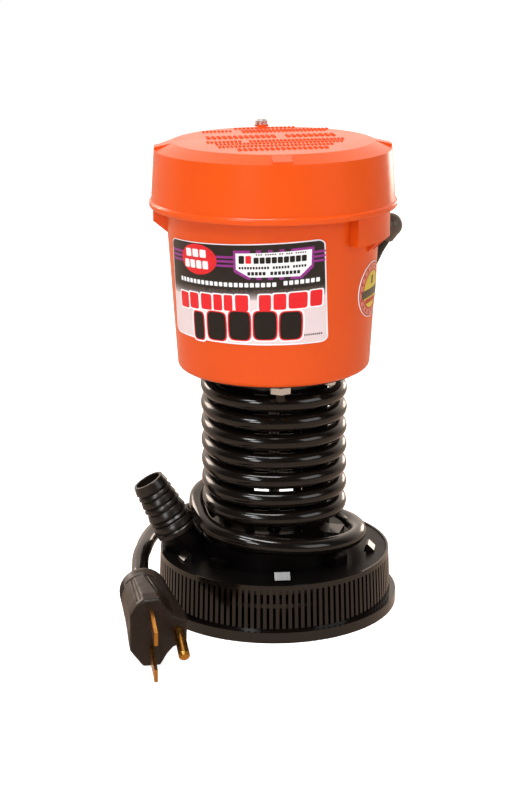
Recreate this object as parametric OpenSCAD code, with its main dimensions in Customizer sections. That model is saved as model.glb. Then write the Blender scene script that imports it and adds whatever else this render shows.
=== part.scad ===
// Evaporative-cooler circulation pump, in millimetres.
// A motor in a tapered can stands on an open column above a strained pump chamber, and its mains
// cord is wound round the column. +Z is up, the origin is the centre of the underside on the shaft
// axis, and the front is -Y. Directions round the axis are degrees from the front, growing towards +X.

/* [Strainer basket] */
// How far the foot flange stands out from the slotted wall
foot_lip = 2.6; // [1.5:0.1:4]
// Height of the foot flange
foot_h = 5; // [3:0.5:7]
// Height of the basket, floor to rim
basket_h = 25.8; // [24:0.2:30]
// Outside radius of the slotted wall at its rim
basket_r = 53.4; // [52:0.2:55]
// How much wider the slotted wall is at its foot
basket_flare = 1; // [0:0.1:1.5]
// Thickness of the slotted wall
basket_wall = 2.2; // [1.8:0.1:3]
// Thickness of the thin rim that laps the deck's edge
rim_t = 0.9; // [0.7:0.1:1.2]
// Thickness of the basket's floor
basket_floor_t = 2; // [1.5:0.1:3]
// Number of strainer slots
slot_count = 120; // [90:2:130]
// Width of one strainer slot
slot_w = 1.25; // [0.8:0.05:1.5]
// Height of the band left above the slots
slot_band = 2.4; // [1.5:0.1:3.5]
// Radial thickness of the hoops that tie the ribs together
hoop_t = 1.4; // [1:0.1:2]
// Height of one hoop
hoop_h = 2; // [1.5:0.1:3]

/* [Snap hooks] */
// How far a hook's inner face stands in from the basket's wall
hook_inset = 7.8; // [7.2:0.1:8.2]
// Width of a hook
hook_w = 7; // [5:0.5:8]
// Thickness of a hook's post
hook_t = 2; // [1.5:0.1:2.2]
// How far the barb reaches past the post
hook_barb = 1.8; // [1:0.1:2]
// Height of the barb above the deck
hook_rise = 3.6; // [2.5:0.1:4.5]
// Clearance between a hook and its slot in the deck
hook_gap = 0.3; // [0.2:0.05:0.5]

/* [Pump housing] */
// How far the basket's rim stands above the deck
rim_proud = 0.5; // [0.2:0.1:1]
// Thickness of the deck plate
deck_t = 2.5; // [2:0.1:3]
// Radial clearance between the deck and the basket's rim
deck_gap = 0.3; // [0.2:0.05:0.5]
// Outside radius of the pump chamber
drum_r = 33.5; // [32.5:0.1:33.7]
// Height of the chamber above the deck
drum_h = 7.7; // [6.5:0.1:8]
// Wall of the pump chamber
drum_wall = 3.5; // [3:0.1:4]
// Thickness of the chamber's roof
drum_roof_t = 3; // [2.5:0.1:3.5]
// Depth of the chamber's wall below the deck's top
drum_depth = 13.3; // [12.5:0.1:14]
// Radial clearance round the shaft where it passes the roof
roof_gap = 0.9; // [0.6:0.1:1.5]

/* [Chamber cover] */
// Thickness of the chamber cover
cover_t = 2.5; // [2:0.1:3]
// Radius of the inlet eye
eye_r = 11; // [9:0.5:13]
// Height of the spigot that centres the cover
cover_spigot_h = 1.5; // [1:0.1:2]
// Radial clearance of that spigot
cover_gap = 0.1; // [0.05:0.05:0.2]
// Radius of the screw ears
ear_r = 3.8; // [3.4:0.1:4.2]

/* [Outlet nozzle] */
// How far the nozzle's seat lies in from the deck's edge
nozzle_inset = 6.9; // [6.2:0.1:7.4]
// Height of the nozzle's seat above the deck
nozzle_rise = 9.1; // [8.5:0.1:10.5]
// Lean of the nozzle away from upright
nozzle_lean = 28.5; // [24:0.5:30]
// Length of the barbed stem
nozzle_l = 28; // [26:0.5:32]
// Radius of the nozzle's bore
nozzle_bore_r = 6; // [5.5:0.1:6.2]
// Radius of the barb at the tip
barb_tip_r = 7.6; // [7.2:0.05:7.8]
// Radius of the barb at the root
barb_root_r = 9.6; // [9.2:0.1:9.8]
// Number of barbs below the tip
barb_count = 3; // [2:1:3]
// Depth of the grooves between the barbs
barb_groove = 0.8; // [0.5:0.1:0.9]
// Radius of the nozzle's seat ring
seat_ring_r = 9.9; // [9.8:0.1:10.1]
// Height of the seat ring
seat_ring_h = 2.2; // [1.5:0.1:3]
// Radius of the plug-in end of the nozzle
spigot_r = 7.55; // [7.2:0.05:7.8]
// Length of the plug-in end
spigot_l = 7.5; // [6.5:0.1:8]
// Radial clearance of the plug-in end
spigot_gap = 0.05; // [0.02:0.01:0.1]

/* [Column] */
// Outside radius of the column
column_r = 26; // [25:0.1:26.2]
// Wall of the column
column_wall = 3; // [2.5:0.1:3.5]
// Height from the top of the feet to the top of the flange
column_h = 79; // [77:0.5:81]
// Width of the four windows
window_w = 21.6; // [18:0.2:21.8]
// Height of the ring left below the windows
ring_low_h = 4; // [3:0.5:5]
// Height of the ring left above the windows, under the flange
ring_top_h = 6; // [4:0.5:8]
// How far the motor flange's edge lies in from the can's foot
flange_inset = 3.3; // [3.1:0.1:3.9]
// Thickness of the motor flange
flange_t = 2; // [1.6:0.1:2.4]
// How deep the flange sits in the can's foot
flange_sink = 1.2; // [0.8:0.1:1.4]
// Number of feet on the chamber's roof
column_feet = 5; // [4:1:6]
// Height of a foot
column_foot_h = 3; // [2:0.1:3.5]
// Width of a foot
column_foot_w = 12; // [9:0.5:13]
// Radius to the outer end of a foot
column_foot_r = 32.2; // [31:0.1:32.4]

/* [Motor can] */
// How much narrower the can is at its foot
can_draft = 4.5; // [3.8:0.1:4.8]
// Radius of the can at its top
can_top_r = 48.2; // [47:0.1:48.6]
// Height of the can beyond the motor's stack
can_room = 40.7; // [40:0.1:46]
// Wall of the can
can_wall = 2.2; // [1.8:0.1:2.4]
// Radius of the rounded bottom edge
can_edge_r = 2.5; // [2:0.1:3]
// How far the rim that carries the cap stands out
rim_w = 4.1; // [3.6:0.1:4.6]
// Thickness of that rim
can_rim_t = 2; // [1.5:0.1:2.5]
// Direction of the right vent lug
lug_turn = 57.5; // [50:0.5:62]
// Angle that the right lug spans
lug_span = 36; // [24:1:38]
// How far the right lug's face stands out from the rim
lug_proud = 0.1; // [0.1:0.1:1.2]
// Depth of the right lug below the top of the can
lug_h = 16; // [14:0.5:18]
// Direction of the left vent lug
left_lug_turn = 256; // [250:1:262]
// Angle that the left lug spans
left_lug_span = 26; // [20:1:34]
// How far the left lug's face stands out from the rim
left_lug_proud = 1.3; // [0.2:0.1:1.6]
// Depth of the left lug below the top of the can
left_lug_h = 10.5; // [9:0.5:16]
// Height of the gussets below a lug
gusset_h = 6; // [4:0.5:8]

/* [Cap] */
// How far the chamfer reaches in from the wall
cap_chamfer_w = 8.2; // [6.5:0.1:9]
// Height of the chamfer
cap_chamfer_h = 3.2; // [2.5:0.1:4]
// Height of the cap above the can's rim
cap_h = 25.1; // [23:0.1:28]
// How far the bead at the cap's lower edge stands out from the wall below the chamfer
bead_w = 2.5; // [2.2:0.1:3]
// Height of the bead
bead_h = 2.8; // [2:0.1:3.2]
// How far the skirt hangs below the can's rim
skirt_h = 3.4; // [2.8:0.1:4]
// Thickness of the cap's top
cap_t = 2.3; // [2:0.1:3]
// Clearance between the skirt and the rim
cap_gap = 0.4; // [0.3:0.05:0.6]
// Width of the four bosses on the chamfer
boss_w = 8.3; // [7:0.1:10]
// How far the cap screw's axis lies in from the wall
cap_screw_inset = 5.2; // [4.9:0.1:5.6]

/* [Labels] */
// Thickness of a printed label
label_t = 0.25; // [0.15:0.05:0.4]
// Direction of the front label's middle
label_turn = -24.5; // [-28:0.5:-20]
// Width of the front label, straight across
label_w = 70.6; // [60:0.2:71]
// Height of the front label's right end
label_h = 46.5; // [36:0.5:47]
// How much higher its upper edge is at the right end
label_lift = 3.6; // [0:0.1:4]
// Height from the can's foot to the front label
label_rise = 19.2; // [15:0.1:24]
// Radius of the round label
badge_r = 12.5; // [9:0.5:13]
// Direction of the round label
badge_turn = 65; // [60:1:66]
// Height from the can's foot to the round label's centre
badge_rise = 38.2; // [30:0.1:39]

/* [Motor] */
// How far the through studs lie in from the flange's edge
stud_inset = 3.9; // [3.8:0.1:4.4]
// Radius of a stud
stud_r = 2; // [1.75:0.05:2.1]
// Clearance round a stud
stud_gap = 0.1; // [0.05:0.05:0.2]
// Height of one spacer sleeve
spacer_h = 8; // [7:0.5:8.5]
// Radius of a spacer sleeve
spacer_r = 3.6; // [3.2:0.1:3.8]
// Height of the stator stack
stack_h = 36; // [32:1:37]
// How far the stator ring's outside lies in from the studs
stator_inset = 3; // [2.5:0.1:3.5]
// Radial width of the stator ring
stator_ring = 5.5; // [5:0.1:5.6]
// Width of one stator pole
pole_w = 12; // [10:0.5:13]
// Radius of the rotor
rotor_r = 17; // [16:0.1:17.5]
// Air gap between rotor and stator
air_gap = 0.5; // [0.3:0.05:0.8]
// Height of the rotor's end rings
end_ring_h = 3; // [2:0.2:3.2]
// Height that a coil stands past the stack
coil_over = 5; // [4:0.2:5.5]
// Thickness of the bearing brackets
bracket_t = 2; // [1.5:0.1:2.5]
// Radius of a bearing
bearing_r = 6; // [5:0.1:6.5]
// Height of a bearing
bearing_h = 9; // [8:0.1:9.2]
// Radius of a bearing's housing
hub_r = 9; // [8:0.1:10]

/* [Rotor and impeller] */
// Radius of the shaft
shaft_r = 2.55; // [2.3:0.05:3]
// Radial running clearance in the bearings
run_gap = 0.03; // [0.02:0.01:0.06]
// Radius of the impeller
impeller_r = 26; // [24:0.5:27]
// Height of the impeller's vanes
vane_h = 8.5; // [7:0.5:9]
// Number of vanes
vane_count = 6; // [5:1:8]
// Thickness of the impeller's disc
shroud_t = 1.6; // [1.2:0.1:2]
// Clearance between impeller and chamber cover
impeller_gap = 2; // [1.5:0.1:2.5]
// Radius of the cooling fan
fan_r = 30; // [26:0.5:34]
// Height of the cooling fan
fan_h = 9; // [7:0.5:10]
// Number of fan blades
fan_blades = 8; // [6:1:10]
// Radius of the water slinger
slinger_r = 14; // [10:0.5:16]

/* [Cord and plug] */
// Diameter of the cord
cord_d = 7.6; // [6.8:0.1:7.8]
// Drop of the winding for each turn
cord_pitch = 9; // [8.8:0.1:9.4]
// Clearance between the winding and the column
wind_gap = 0.35; // [0.3:0.05:0.6]
// Direction of the strain relief on the can
gland_turn = 103; // [100:1:106]
// Height of the strain relief below the can's rim
gland_drop = 16.2; // [14:0.1:18]
// Radius of the strain relief
gland_r = 5.4; // [4.8:0.1:5.6]
// How far the boot reaches out from the top of the can before it turns down
gland_out = 7.8; // [7:0.1:8.6]
// Length of the strain relief's lower end
gland_leg = 6; // [5.5:0.1:8]
// Distance between the two blades of the plug
blade_pitch = 18.3; // [18:0.1:18.6]
// Length of a blade
blade_l = 18.2; // [16:0.1:18.2]
// Width of a blade
blade_w = 6.35; // [6.2:0.05:6.5]
// Thickness of a blade
blade_t = 1.5; // [1.4:0.05:1.6]
// Distance from the blades to the earth pin
earth_x = 11.9; // [11.7:0.1:12.1]
// Radius of the earth pin
earth_r = 2.4; // [2.3:0.05:2.5]
// Length of the earth pin
earth_l = 19.2; // [18.2:0.1:21]
// Length of the plug's body
plug_l = 40; // [38:0.5:44]
// Radius of the plug's rounded end
plug_end_r = 9.8; // [9:0.1:11]

/* [Hidden] */
$fn = 96;
EPS = 0.01;

// Colours
ORANGE = "#F15F22";
BLACK = "#1C1A19";
STEEL = "#B9BCC0";
BRASS = "#C98A3A";
CORD = "#181716";

// Heights, from the floor up
deck_z = basket_h - rim_proud;
deck_low_z = deck_z - deck_t;
drum_z = deck_z + drum_h;
drum_low_z = deck_z - drum_depth;
roof_z = drum_z - drum_roof_t;
cover_z = drum_low_z - cover_t;
feet_z = drum_z + column_foot_h;
flange_top_z = feet_z + column_h;
flange_z = flange_top_z - flange_t;
can_z = flange_top_z - flange_sink;
can_in_z = flange_top_z + can_wall;
can_rim_z = can_z + stack_h + can_room;
cap_z = can_rim_z + cap_h;
skirt_z = can_rim_z - skirt_h;

// Directions of the snap hooks
HOOK_TURNS = [0, 78, 148, 219, 290];

// Radii that follow from the walls
basket_foot_r = basket_r + basket_flare;
foot_r = basket_foot_r + foot_lip;
basket_in_r = basket_r - basket_wall;
hook_r = basket_in_r - hook_inset;
rim_in_r = basket_r - rim_t;
deck_r = rim_in_r - deck_gap;
nozzle_x = deck_r - nozzle_inset;
hoop_in_r = basket_in_r - hoop_t;
chamber_r = drum_r - drum_wall;
can_low_r = can_top_r - can_draft;
flange_r = can_low_r - flange_inset;
stud_circle_r = flange_r - stud_inset;
stator_r = stud_circle_r - stator_inset;
rim_r = can_top_r + rim_w;
lug_r = rim_r + lug_proud;
left_lug_r = rim_r + left_lug_proud;
cap_wall_r = rim_r + cap_gap;
cap_top_r = cap_wall_r - cap_chamfer_w;
bead_r = cap_wall_r + bead_w;
cap_screw_r = cap_wall_r - cap_screw_inset;
gland_reach = can_top_r + gland_out;
slot_low_z = foot_h + 0.6;
slot_top_z = basket_h - slot_band;
mid_hoop_z = (foot_h + basket_h) / 2 - hoop_h / 2;

// Small screws
SCREW_R = 1.5;
SCREW_GAP = 0.15;
PAN_R = 3.2;
PAN_H = 1.8;
cover_ear_x = drum_r + ear_r - 0.3;
foot_screw_r = column_r - column_wall / 2;
FOOT_SCREW_R = 1.1;
FOOT_SCREW_L = 5.5;
FOOT_LIFT = 0.2;
LUG_GAP = 0.3;
COVER_SCREWS = 4;
CAP_SCREW_TURN = 182;
GLAND_CUT = 9;
EAR_LIP = 0.3;

// Radius of the front label's corners, and the gap behind a label
LABEL_CORNER = 2.5;
LABEL_GAP = 0.03;

// Screw that holds the cap down, and the posts that it runs through
CAP_SCREW_R = 1.75;
CAP_SEAT_W = 1.1;
COLLAR_RISE = 0.8;
BOSS_RISE = 1.3;
POST_R = 3.6;
POST_H = 15;
POST_FLOOR = 4;
CAP_SCREW_GRIP = 10;

// Duct from the chamber to the nozzle
duct_r = 5;
RISER_STEP = 3.8;
duct_z = deck_z - deck_t - duct_r + 0.9;
riser_x = nozzle_x - RISER_STEP;
riser_r = 5.5;
DUCT_HALF_W = 8.5;
nozzle_z = deck_z + nozzle_rise;
boss_r = spigot_r + spigot_gap + 1.8;
under_deck_r = hoop_in_r - 0.4;

// Barbs: a plain tip, then a thin ring and a wide band in every pitch
BARB_PITCH = 5.75;
TIP_L = 4.8;
RING_L = 1.3;
BAND_L = 2.8;
LAND_L = 0.8;
barb_slope = (barb_root_r - barb_tip_r) / (BARB_PITCH * barb_count + TIP_L);
function barb_r(below_tip) = barb_tip_r + barb_slope * below_tip;

// Motor heights
low_bracket_z = can_in_z + spacer_h;
stack_z = low_bracket_z + bracket_t + spacer_h;
stack_top_z = stack_z + stack_h;
top_bracket_z = stack_top_z + spacer_h;
stud_top_z = top_bracket_z + bracket_t;
BEARING_DROP = 4;
low_bearing_z = low_bracket_z - BEARING_DROP;
top_bearing_z = top_bracket_z + bracket_t / 2 - bearing_h / 2;
collar_gap = 0.3;
COLLAR_R = 5;
fan_z = top_bearing_z + bearing_h + 1.5;
shaft_top_z = fan_z + fan_h + 1;
impeller_z = drum_low_z + cover_spigot_h + impeller_gap;
shaft_low_z = impeller_z - 1;
pole_r = rotor_r + air_gap;
SHOE_T = 2.1;
COIL_GAP = 0.3;
coil_in_r = pole_r + SHOE_T + COIL_GAP;
coil_build = 4.4;
coil_half_w = pole_w / 2 + COIL_GAP + coil_build;
cord_r = cord_d / 2;
coil_out_r = sqrt(pow(stator_r - stator_ring - 0.15, 2) - pow(coil_half_w, 2));

// Studs, their nuts and the two screws beside them
STUDS = 3;
NUT_AF = 8.7;
NUT_H = 2.9;
STUD_TAIL = 3.9;
HEAD_H = 3;
CAN_SCREW_TURN = 38;

// ---------------------------------------------------------------- helpers

// A point from a direction round the axis, a radius and a height
function at(turn, r, z) = [r * sin(turn), -r * cos(turn), z];

function unit(v) = v / norm(v);

// Points of a quarter-circle corner between two directions
function corner(c, r, from, to, steps = 6) =
    [for (i = [0:steps]) let (a = from + (to - from) * i / steps) c + r * [cos(a), sin(a)]];

// Radius of the can's outside at a height
function can_r(z) =
    let (low = can_z + can_edge_r)
    can_low_r + (can_top_r - can_low_r) * (z - low) / (can_rim_z - low);

module ring(r, in_r, h) {
    difference() {
        cylinder(r = r, h = h);
        translate([0, 0, -1]) cylinder(r = in_r, h = h + 2);
    }
}

// A triangle that covers a sector about +X
module sector(r, half) {
    polygon(r * [[0, 0], [cos(half), -sin(half)], [cos(half), sin(half)]]);
}

// Puts a child's +X on a direction round the axis
module turned(turn) {
    rotate([0, 0, turn - 90]) children();
}

module around(count, first = 0) {
    for (i = [0:count - 1]) turned(first + i * 360 / count) children();
}

module at_hooks() {
    for (turn = HOOK_TURNS) turned(turn) children();
}

module hex(af, h) {
    cylinder(r = af / sqrt(3), h = h, $fn = 6);
}

// A countable pan-head screw whose shank rises from its seat at z = 0
module pan_screw(r, l, head_r, head_h) {
    cylinder(r = r, h = l);
    translate([0, 0, -head_h]) cylinder(r1 = head_r * 0.8, r2 = head_r, h = head_h);
}

// ---------------------------------------------------------------- strainer basket

module hook_profile() {
    z = deck_z + 0.25;
    polygon([
        [hook_r, basket_floor_t - EPS],
        [hook_r + hook_t, basket_floor_t - EPS],
        [hook_r + hook_t, z],
        [hook_r + hook_t + hook_barb, z],
        [hook_r + hook_t + hook_barb, z + 0.6],
        [hook_r + 0.9, deck_z + hook_rise],
        [hook_r, deck_z + hook_rise]
    ]);
}

module slot_cutter() {
    translate([0, 0, slot_low_z])
        linear_extrude(height = slot_top_z - slot_low_z)
            for (i = [0:slot_count - 1]) rotate([0, 0, (i + 0.5) * 360 / slot_count])
                translate([basket_in_r - 0.2, -slot_w / 2]) square([foot_r - basket_in_r, slot_w]);
}

module strainer_basket() {
    color(BLACK) {
        difference() {
            union() {
                cylinder(r = foot_r, h = foot_h);
                translate([0, 0, foot_h - EPS])
                    cylinder(r1 = basket_foot_r, r2 = basket_r, h = basket_h - foot_h + EPS);
            }
            translate([0, 0, basket_floor_t]) cylinder(r = basket_in_r, h = basket_h);
            translate([0, 0, deck_low_z]) cylinder(r = rim_in_r, h = basket_h);
            slot_cutter();
        }
        for (z = [mid_hoop_z, deck_low_z - hoop_h])
            translate([0, 0, z]) ring(basket_in_r + EPS, hoop_in_r, hoop_h);
        at_hooks()
            rotate([90, 0, 0]) translate([0, 0, -hook_w / 2])
                linear_extrude(height = hook_w) hook_profile();
    }
}

// ---------------------------------------------------------------- pump housing

module nozzle_frame() {
    translate([-nozzle_x, 0, nozzle_z])
        rotate([0, -nozzle_lean, 0]) children();
}

module nozzle_boss() {
    difference() {
        nozzle_frame() translate([0, 0, -16]) cylinder(r = boss_r, h = 16);
        cylinder(r = 2 * foot_r, h = deck_z - 0.5);
        translate([0, 0, deck_z - 1]) ring(2 * foot_r, deck_r - 0.2, rim_proud + 1.6);
    }
}

module housing_body() {
    translate([0, 0, deck_low_z]) cylinder(r = deck_r, h = deck_t);
    translate([0, 0, drum_low_z]) cylinder(r = drum_r, h = drum_z - drum_low_z);
    intersection() {
        translate([-foot_r, -DUCT_HALF_W, drum_low_z])
            cube([foot_r - chamber_r, 2 * DUCT_HALF_W, deck_z - drum_low_z]);
        cylinder(r = under_deck_r, h = deck_z);
    }
    around(COVER_SCREWS, 45)
        translate([cover_ear_x, 0, drum_low_z]) cylinder(r = ear_r, h = deck_low_z - drum_low_z + 1);
    nozzle_boss();
    for (turn = [-45, 45]) turned(turn) translate([drum_r - 1, -4, deck_z - EPS]) cube([8, 8, 4]);
}

module pump_housing() {
    color(BLACK) difference() {
        housing_body();
        translate([0, 0, drum_low_z - 1]) cylinder(r = chamber_r, h = roof_z - drum_low_z + 1);
        translate([0, 0, roof_z - 1]) cylinder(r = shaft_r + roof_gap, h = drum_roof_t + 2);
        translate([-riser_x, 0, duct_z]) rotate([0, 90, 0]) cylinder(r = duct_r, h = riser_x - chamber_r + 1);
        translate([-riser_x, 0, duct_z]) cylinder(r = riser_r, h = nozzle_z - duct_z - 6);
        nozzle_frame() translate([0, 0, -spigot_l - 0.2])
            cylinder(r = spigot_r + spigot_gap, h = spigot_l + 2);
        at_hooks()
            translate([hook_r - hook_gap - 0.7, -hook_w / 2 - hook_gap, deck_low_z - 1])
                cube([hook_t + 2 * hook_gap + 0.7, hook_w + 2 * hook_gap, deck_t + 2]);
        around(COVER_SCREWS, 45)
            translate([cover_ear_x, 0, drum_low_z - 1])
                cylinder(r = SCREW_R + SCREW_GAP / 3, h = 9);
        around(column_feet)
            translate([foot_screw_r, 0, roof_z - 1])
                cylinder(r = FOOT_SCREW_R + SCREW_GAP, h = drum_roof_t + 2);
    }
}

module chamber_cover() {
    color(BLACK) difference() {
        union() {
            translate([0, 0, cover_z]) cylinder(r = drum_r, h = cover_t);
            translate([0, 0, drum_low_z - EPS]) cylinder(r = chamber_r - cover_gap, h = cover_spigot_h);
            around(COVER_SCREWS, 45)
                translate([cover_ear_x, 0, cover_z - EAR_LIP])
                    cylinder(r = ear_r, h = cover_t + EAR_LIP - 0.1);
        }
        translate([0, 0, cover_z - 1]) cylinder(r = eye_r, h = cover_t + cover_spigot_h + 2);
        around(COVER_SCREWS, 45)
            translate([cover_ear_x, 0, cover_z - 1]) cylinder(r = SCREW_R + SCREW_GAP, h = cover_t + 2);
    }
}

module cover_screws() {
    color(STEEL) around(COVER_SCREWS, 45)
        translate([cover_ear_x, 0, cover_z - EAR_LIP]) pan_screw(SCREW_R, cover_t + 7, PAN_R - 0.3, PAN_H);
}

module outlet_nozzle() {
    color(BLACK) nozzle_frame() difference() {
        union() {
            translate([0, 0, -spigot_l]) cylinder(r = spigot_r, h = spigot_l + EPS);
            cylinder(r = seat_ring_r, h = seat_ring_h);
            cylinder(r = barb_tip_r - barb_groove, h = nozzle_l);
            translate([0, 0, seat_ring_h - EPS])
                cylinder(r1 = barb_root_r - barb_groove, r2 = barb_tip_r - barb_groove,
                         h = nozzle_l - seat_ring_h - TIP_L);
            translate([0, 0, nozzle_l - TIP_L]) cylinder(r = barb_tip_r, h = TIP_L);
            for (i = [0:barb_count - 1]) {
                top = nozzle_l - TIP_L - LAND_L - i * BARB_PITCH;
                translate([0, 0, top - RING_L]) cylinder(r = barb_r(nozzle_l - top), h = RING_L);
                low = top - RING_L - LAND_L - BAND_L;
                translate([0, 0, low]) cylinder(r = barb_r(nozzle_l - low), h = BAND_L);
            }
        }
        translate([0, 0, -spigot_l - 1]) cylinder(r = nozzle_bore_r, h = spigot_l + nozzle_l + 2);
    }
}

// ---------------------------------------------------------------- column

module column() {
    window_z = feet_z + ring_low_h;
    window_h = flange_z - ring_top_h - window_z;
    color(BLACK) difference() {
        union() {
            translate([0, 0, drum_z]) cylinder(r = column_r, h = flange_top_z - drum_z);
            translate([0, 0, flange_z]) cylinder(r = flange_r, h = flange_t);
            around(column_feet)
                translate([column_r - column_wall - 1, -column_foot_w / 2, drum_z + FOOT_LIFT])
                    cube([column_foot_r - column_r + column_wall + 1, column_foot_w,
                          column_foot_h - FOOT_LIFT]);
        }
        translate([0, 0, drum_z - 1]) cylinder(r = column_r - column_wall, h = flange_top_z - drum_z + 2);
        for (turn = [0, 90]) rotate([0, 0, turn])
            translate([-foot_r, -window_w / 2, window_z]) cube([2 * foot_r, window_w, window_h]);
        around(STUDS) translate([stud_circle_r, 0, flange_z - 1])
            cylinder(r = stud_r + stud_gap, h = flange_t + 2);
        around(2, CAN_SCREW_TURN) translate([stud_circle_r, 0, flange_z - 1])
            cylinder(r = SCREW_R + SCREW_GAP, h = flange_t + 2);
        around(column_feet)
            translate([foot_screw_r, 0, drum_z - 1]) cylinder(r = FOOT_SCREW_R + 0.05, h = FOOT_SCREW_L + 1.3);
    }
}

module column_foot_screws() {
    color(STEEL) around(column_feet)
        translate([foot_screw_r, 0, roof_z]) pan_screw(FOOT_SCREW_R, drum_roof_t + FOOT_SCREW_L, 2.4, 1.6);
}

// ---------------------------------------------------------------- motor can and cap

module can_outer() {
    edge = can_edge_r;
    rim_low = can_rim_z - can_rim_t;
    seat_r = flange_r + 0.3;
    polygon(concat(
        [[0, flange_top_z], [seat_r, flange_top_z], [seat_r, can_z]],
        corner([can_low_r - edge, can_z + edge], edge, -90, 0),
        [[can_r(rim_low), rim_low], [rim_r, rim_low], [rim_r, can_rim_z], [0, can_rim_z]]
    ));
}

module can_inner() {
    low = can_in_z + 1.5;
    polygon([
        [0, can_in_z], [can_r(can_in_z) - can_wall - 1.5, can_in_z], [can_r(low) - can_wall, low],
        [can_r(can_rim_z + 2) - can_wall, can_rim_z + 2], [0, can_rim_z + 2]
    ]);
}

// A scoop over a row of vents: a face that stands off the wall, on three gussets
module lug(turn, span, r, h) {
    low = can_rim_z - h;
    reach = r - can_r(low) + 1.2;
    turned(turn) {
        intersection() {
            translate([0, 0, low]) union() {
                ring(r, can_r(low) - 1, skirt_z - LUG_GAP - low);
                ring(rim_r - 0.3, can_r(low) - 1, h - can_rim_t + EPS);
            }
            linear_extrude(height = can_rim_z) sector(2 * rim_r, span / 2);
        }
        for (side = [0, 0.45, 0.9]) rotate([0, 0, side * span / 2])
            translate([r - reach - 0.2, 0.6, low + EPS]) rotate([90, 0, 0])
                linear_extrude(height = 1.2) polygon([[0, 0], [reach, 0], [0, -gusset_h]]);
    }
}

module motor_can() {
    gland_z = can_rim_z - gland_drop;
    color(ORANGE) {
        difference() {
            union() {
                rotate_extrude() can_outer();
                lug(lug_turn, lug_span, lug_r, lug_h);
                lug(left_lug_turn, left_lug_span, left_lug_r, left_lug_h);
            }
            rotate_extrude() can_inner();
            translate([0, 0, can_z - 1]) cylinder(r = hub_r + 1, h = can_in_z - can_z + 2);
            around(STUDS) translate([stud_circle_r, 0, can_z - 1])
                cylinder(r = stud_r + stud_gap, h = can_in_z - can_z + 2);
            around(2, CAN_SCREW_TURN) translate([stud_circle_r, 0, can_z - 1])
                cylinder(r = SCREW_R + 0.05, h = can_in_z - can_z + 2);
            turned(CAP_SCREW_TURN) translate([cap_screw_r, 0, can_rim_z - POST_H])
                cylinder(r = POST_R, h = POST_H + 1);
            turned(gland_turn) translate([can_top_r - GLAND_CUT, 0, gland_z]) rotate([0, 90, 0])
                cylinder(r = gland_r + 0.1, h = GLAND_CUT + can_wall + 1);
        }
        turned(CAP_SCREW_TURN) translate([cap_screw_r, 0, can_rim_z - POST_H]) difference() {
            cylinder(r = POST_R + 0.01, h = POST_H);
            translate([0, 0, POST_FLOOR]) cylinder(r = CAP_SCREW_R + 0.05, h = POST_H);
        }
    }
}

module can_screws() {
    color(STEEL) around(2, CAN_SCREW_TURN)
        translate([stud_circle_r, 0, flange_z]) pan_screw(SCREW_R, flange_t + can_wall + 1, PAN_R, PAN_H);
}

module cap_outline() {
    seat_in = rim_r - CAP_SEAT_W;
    skirt_in = rim_r + cap_gap;
    wall_low_r = bead_r - 0.9;
    polygon(concat(
        [[0, cap_z], [cap_top_r, cap_z], [cap_wall_r, cap_z - cap_chamfer_h]],
        [[wall_low_r, skirt_z + bead_h + 0.3]],
        corner([bead_r - 0.7, skirt_z + bead_h - 0.7], 0.7, 80, 0, 4),
        corner([bead_r - 0.7, skirt_z + 0.7], 0.7, 0, -90, 4),
        [[skirt_in, skirt_z], [skirt_in, can_rim_z], [seat_in, can_rim_z]],
        [[cap_wall_r - cap_t, cap_z - cap_chamfer_h - 1]],
        [[cap_top_r - 1, cap_z - cap_t], [0, cap_z - cap_t]]
    ));
}

// The low bosses that stand on the chamfer, flush with the cap's wall
module cap_boss_outline() {
    edge_z = cap_z - cap_chamfer_h;
    out_r = cap_wall_r - 0.1;
    polygon([
        [cap_top_r - 1, cap_z - 1], [cap_top_r, cap_z - 0.1], [out_r, edge_z + BOSS_RISE],
        [out_r, edge_z - 0.5], [cap_top_r - 1, edge_z]
    ]);
}

module cap() {
    color(ORANGE) difference() {
        union() {
            rotate_extrude() cap_outline();
            intersection() {
                rotate_extrude() cap_boss_outline();
                for (turn = [0, 90]) rotate([0, 0, turn])
                    translate([-foot_r, -boss_w / 2, 0]) cube([2 * foot_r, boss_w, cap_z + 1]);
            }
            turned(CAP_SCREW_TURN) translate([cap_screw_r, 0, can_rim_z])
                cylinder(r = POST_R - 0.3, h = cap_z - can_rim_z - 1);
            turned(CAP_SCREW_TURN) translate([cap_screw_r, 0, cap_z - EPS])
                cylinder(r = POST_R - 0.3, h = COLLAR_RISE);
        }
        turned(CAP_SCREW_TURN) translate([cap_screw_r, 0, can_rim_z - 1])
            cylinder(r = CAP_SCREW_R + 0.15, h = cap_h + 4);
    }
}

module cap_screw() {
    seat_z = cap_z + COLLAR_RISE;
    color(STEEL) turned(CAP_SCREW_TURN) translate([cap_screw_r, 0, 0]) {
        translate([0, 0, can_rim_z - CAP_SCREW_GRIP])
            cylinder(r = CAP_SCREW_R, h = seat_z - can_rim_z + CAP_SCREW_GRIP);
        translate([0, 0, seat_z]) cylinder(r = 3, h = 1.7);
        translate([0, 0, seat_z + 1.7 - EPS]) cylinder(r1 = 3, r2 = 1.9, h = 0.8);
    }
}

// A thin shell that follows the can's taper between two heights
module label_shell(low, high) {
    polygon([[can_r(low) + LABEL_GAP, low], [can_r(low) + label_t, low],
             [can_r(high) + label_t, high], [can_r(high) + LABEL_GAP, high]]);
}

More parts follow.
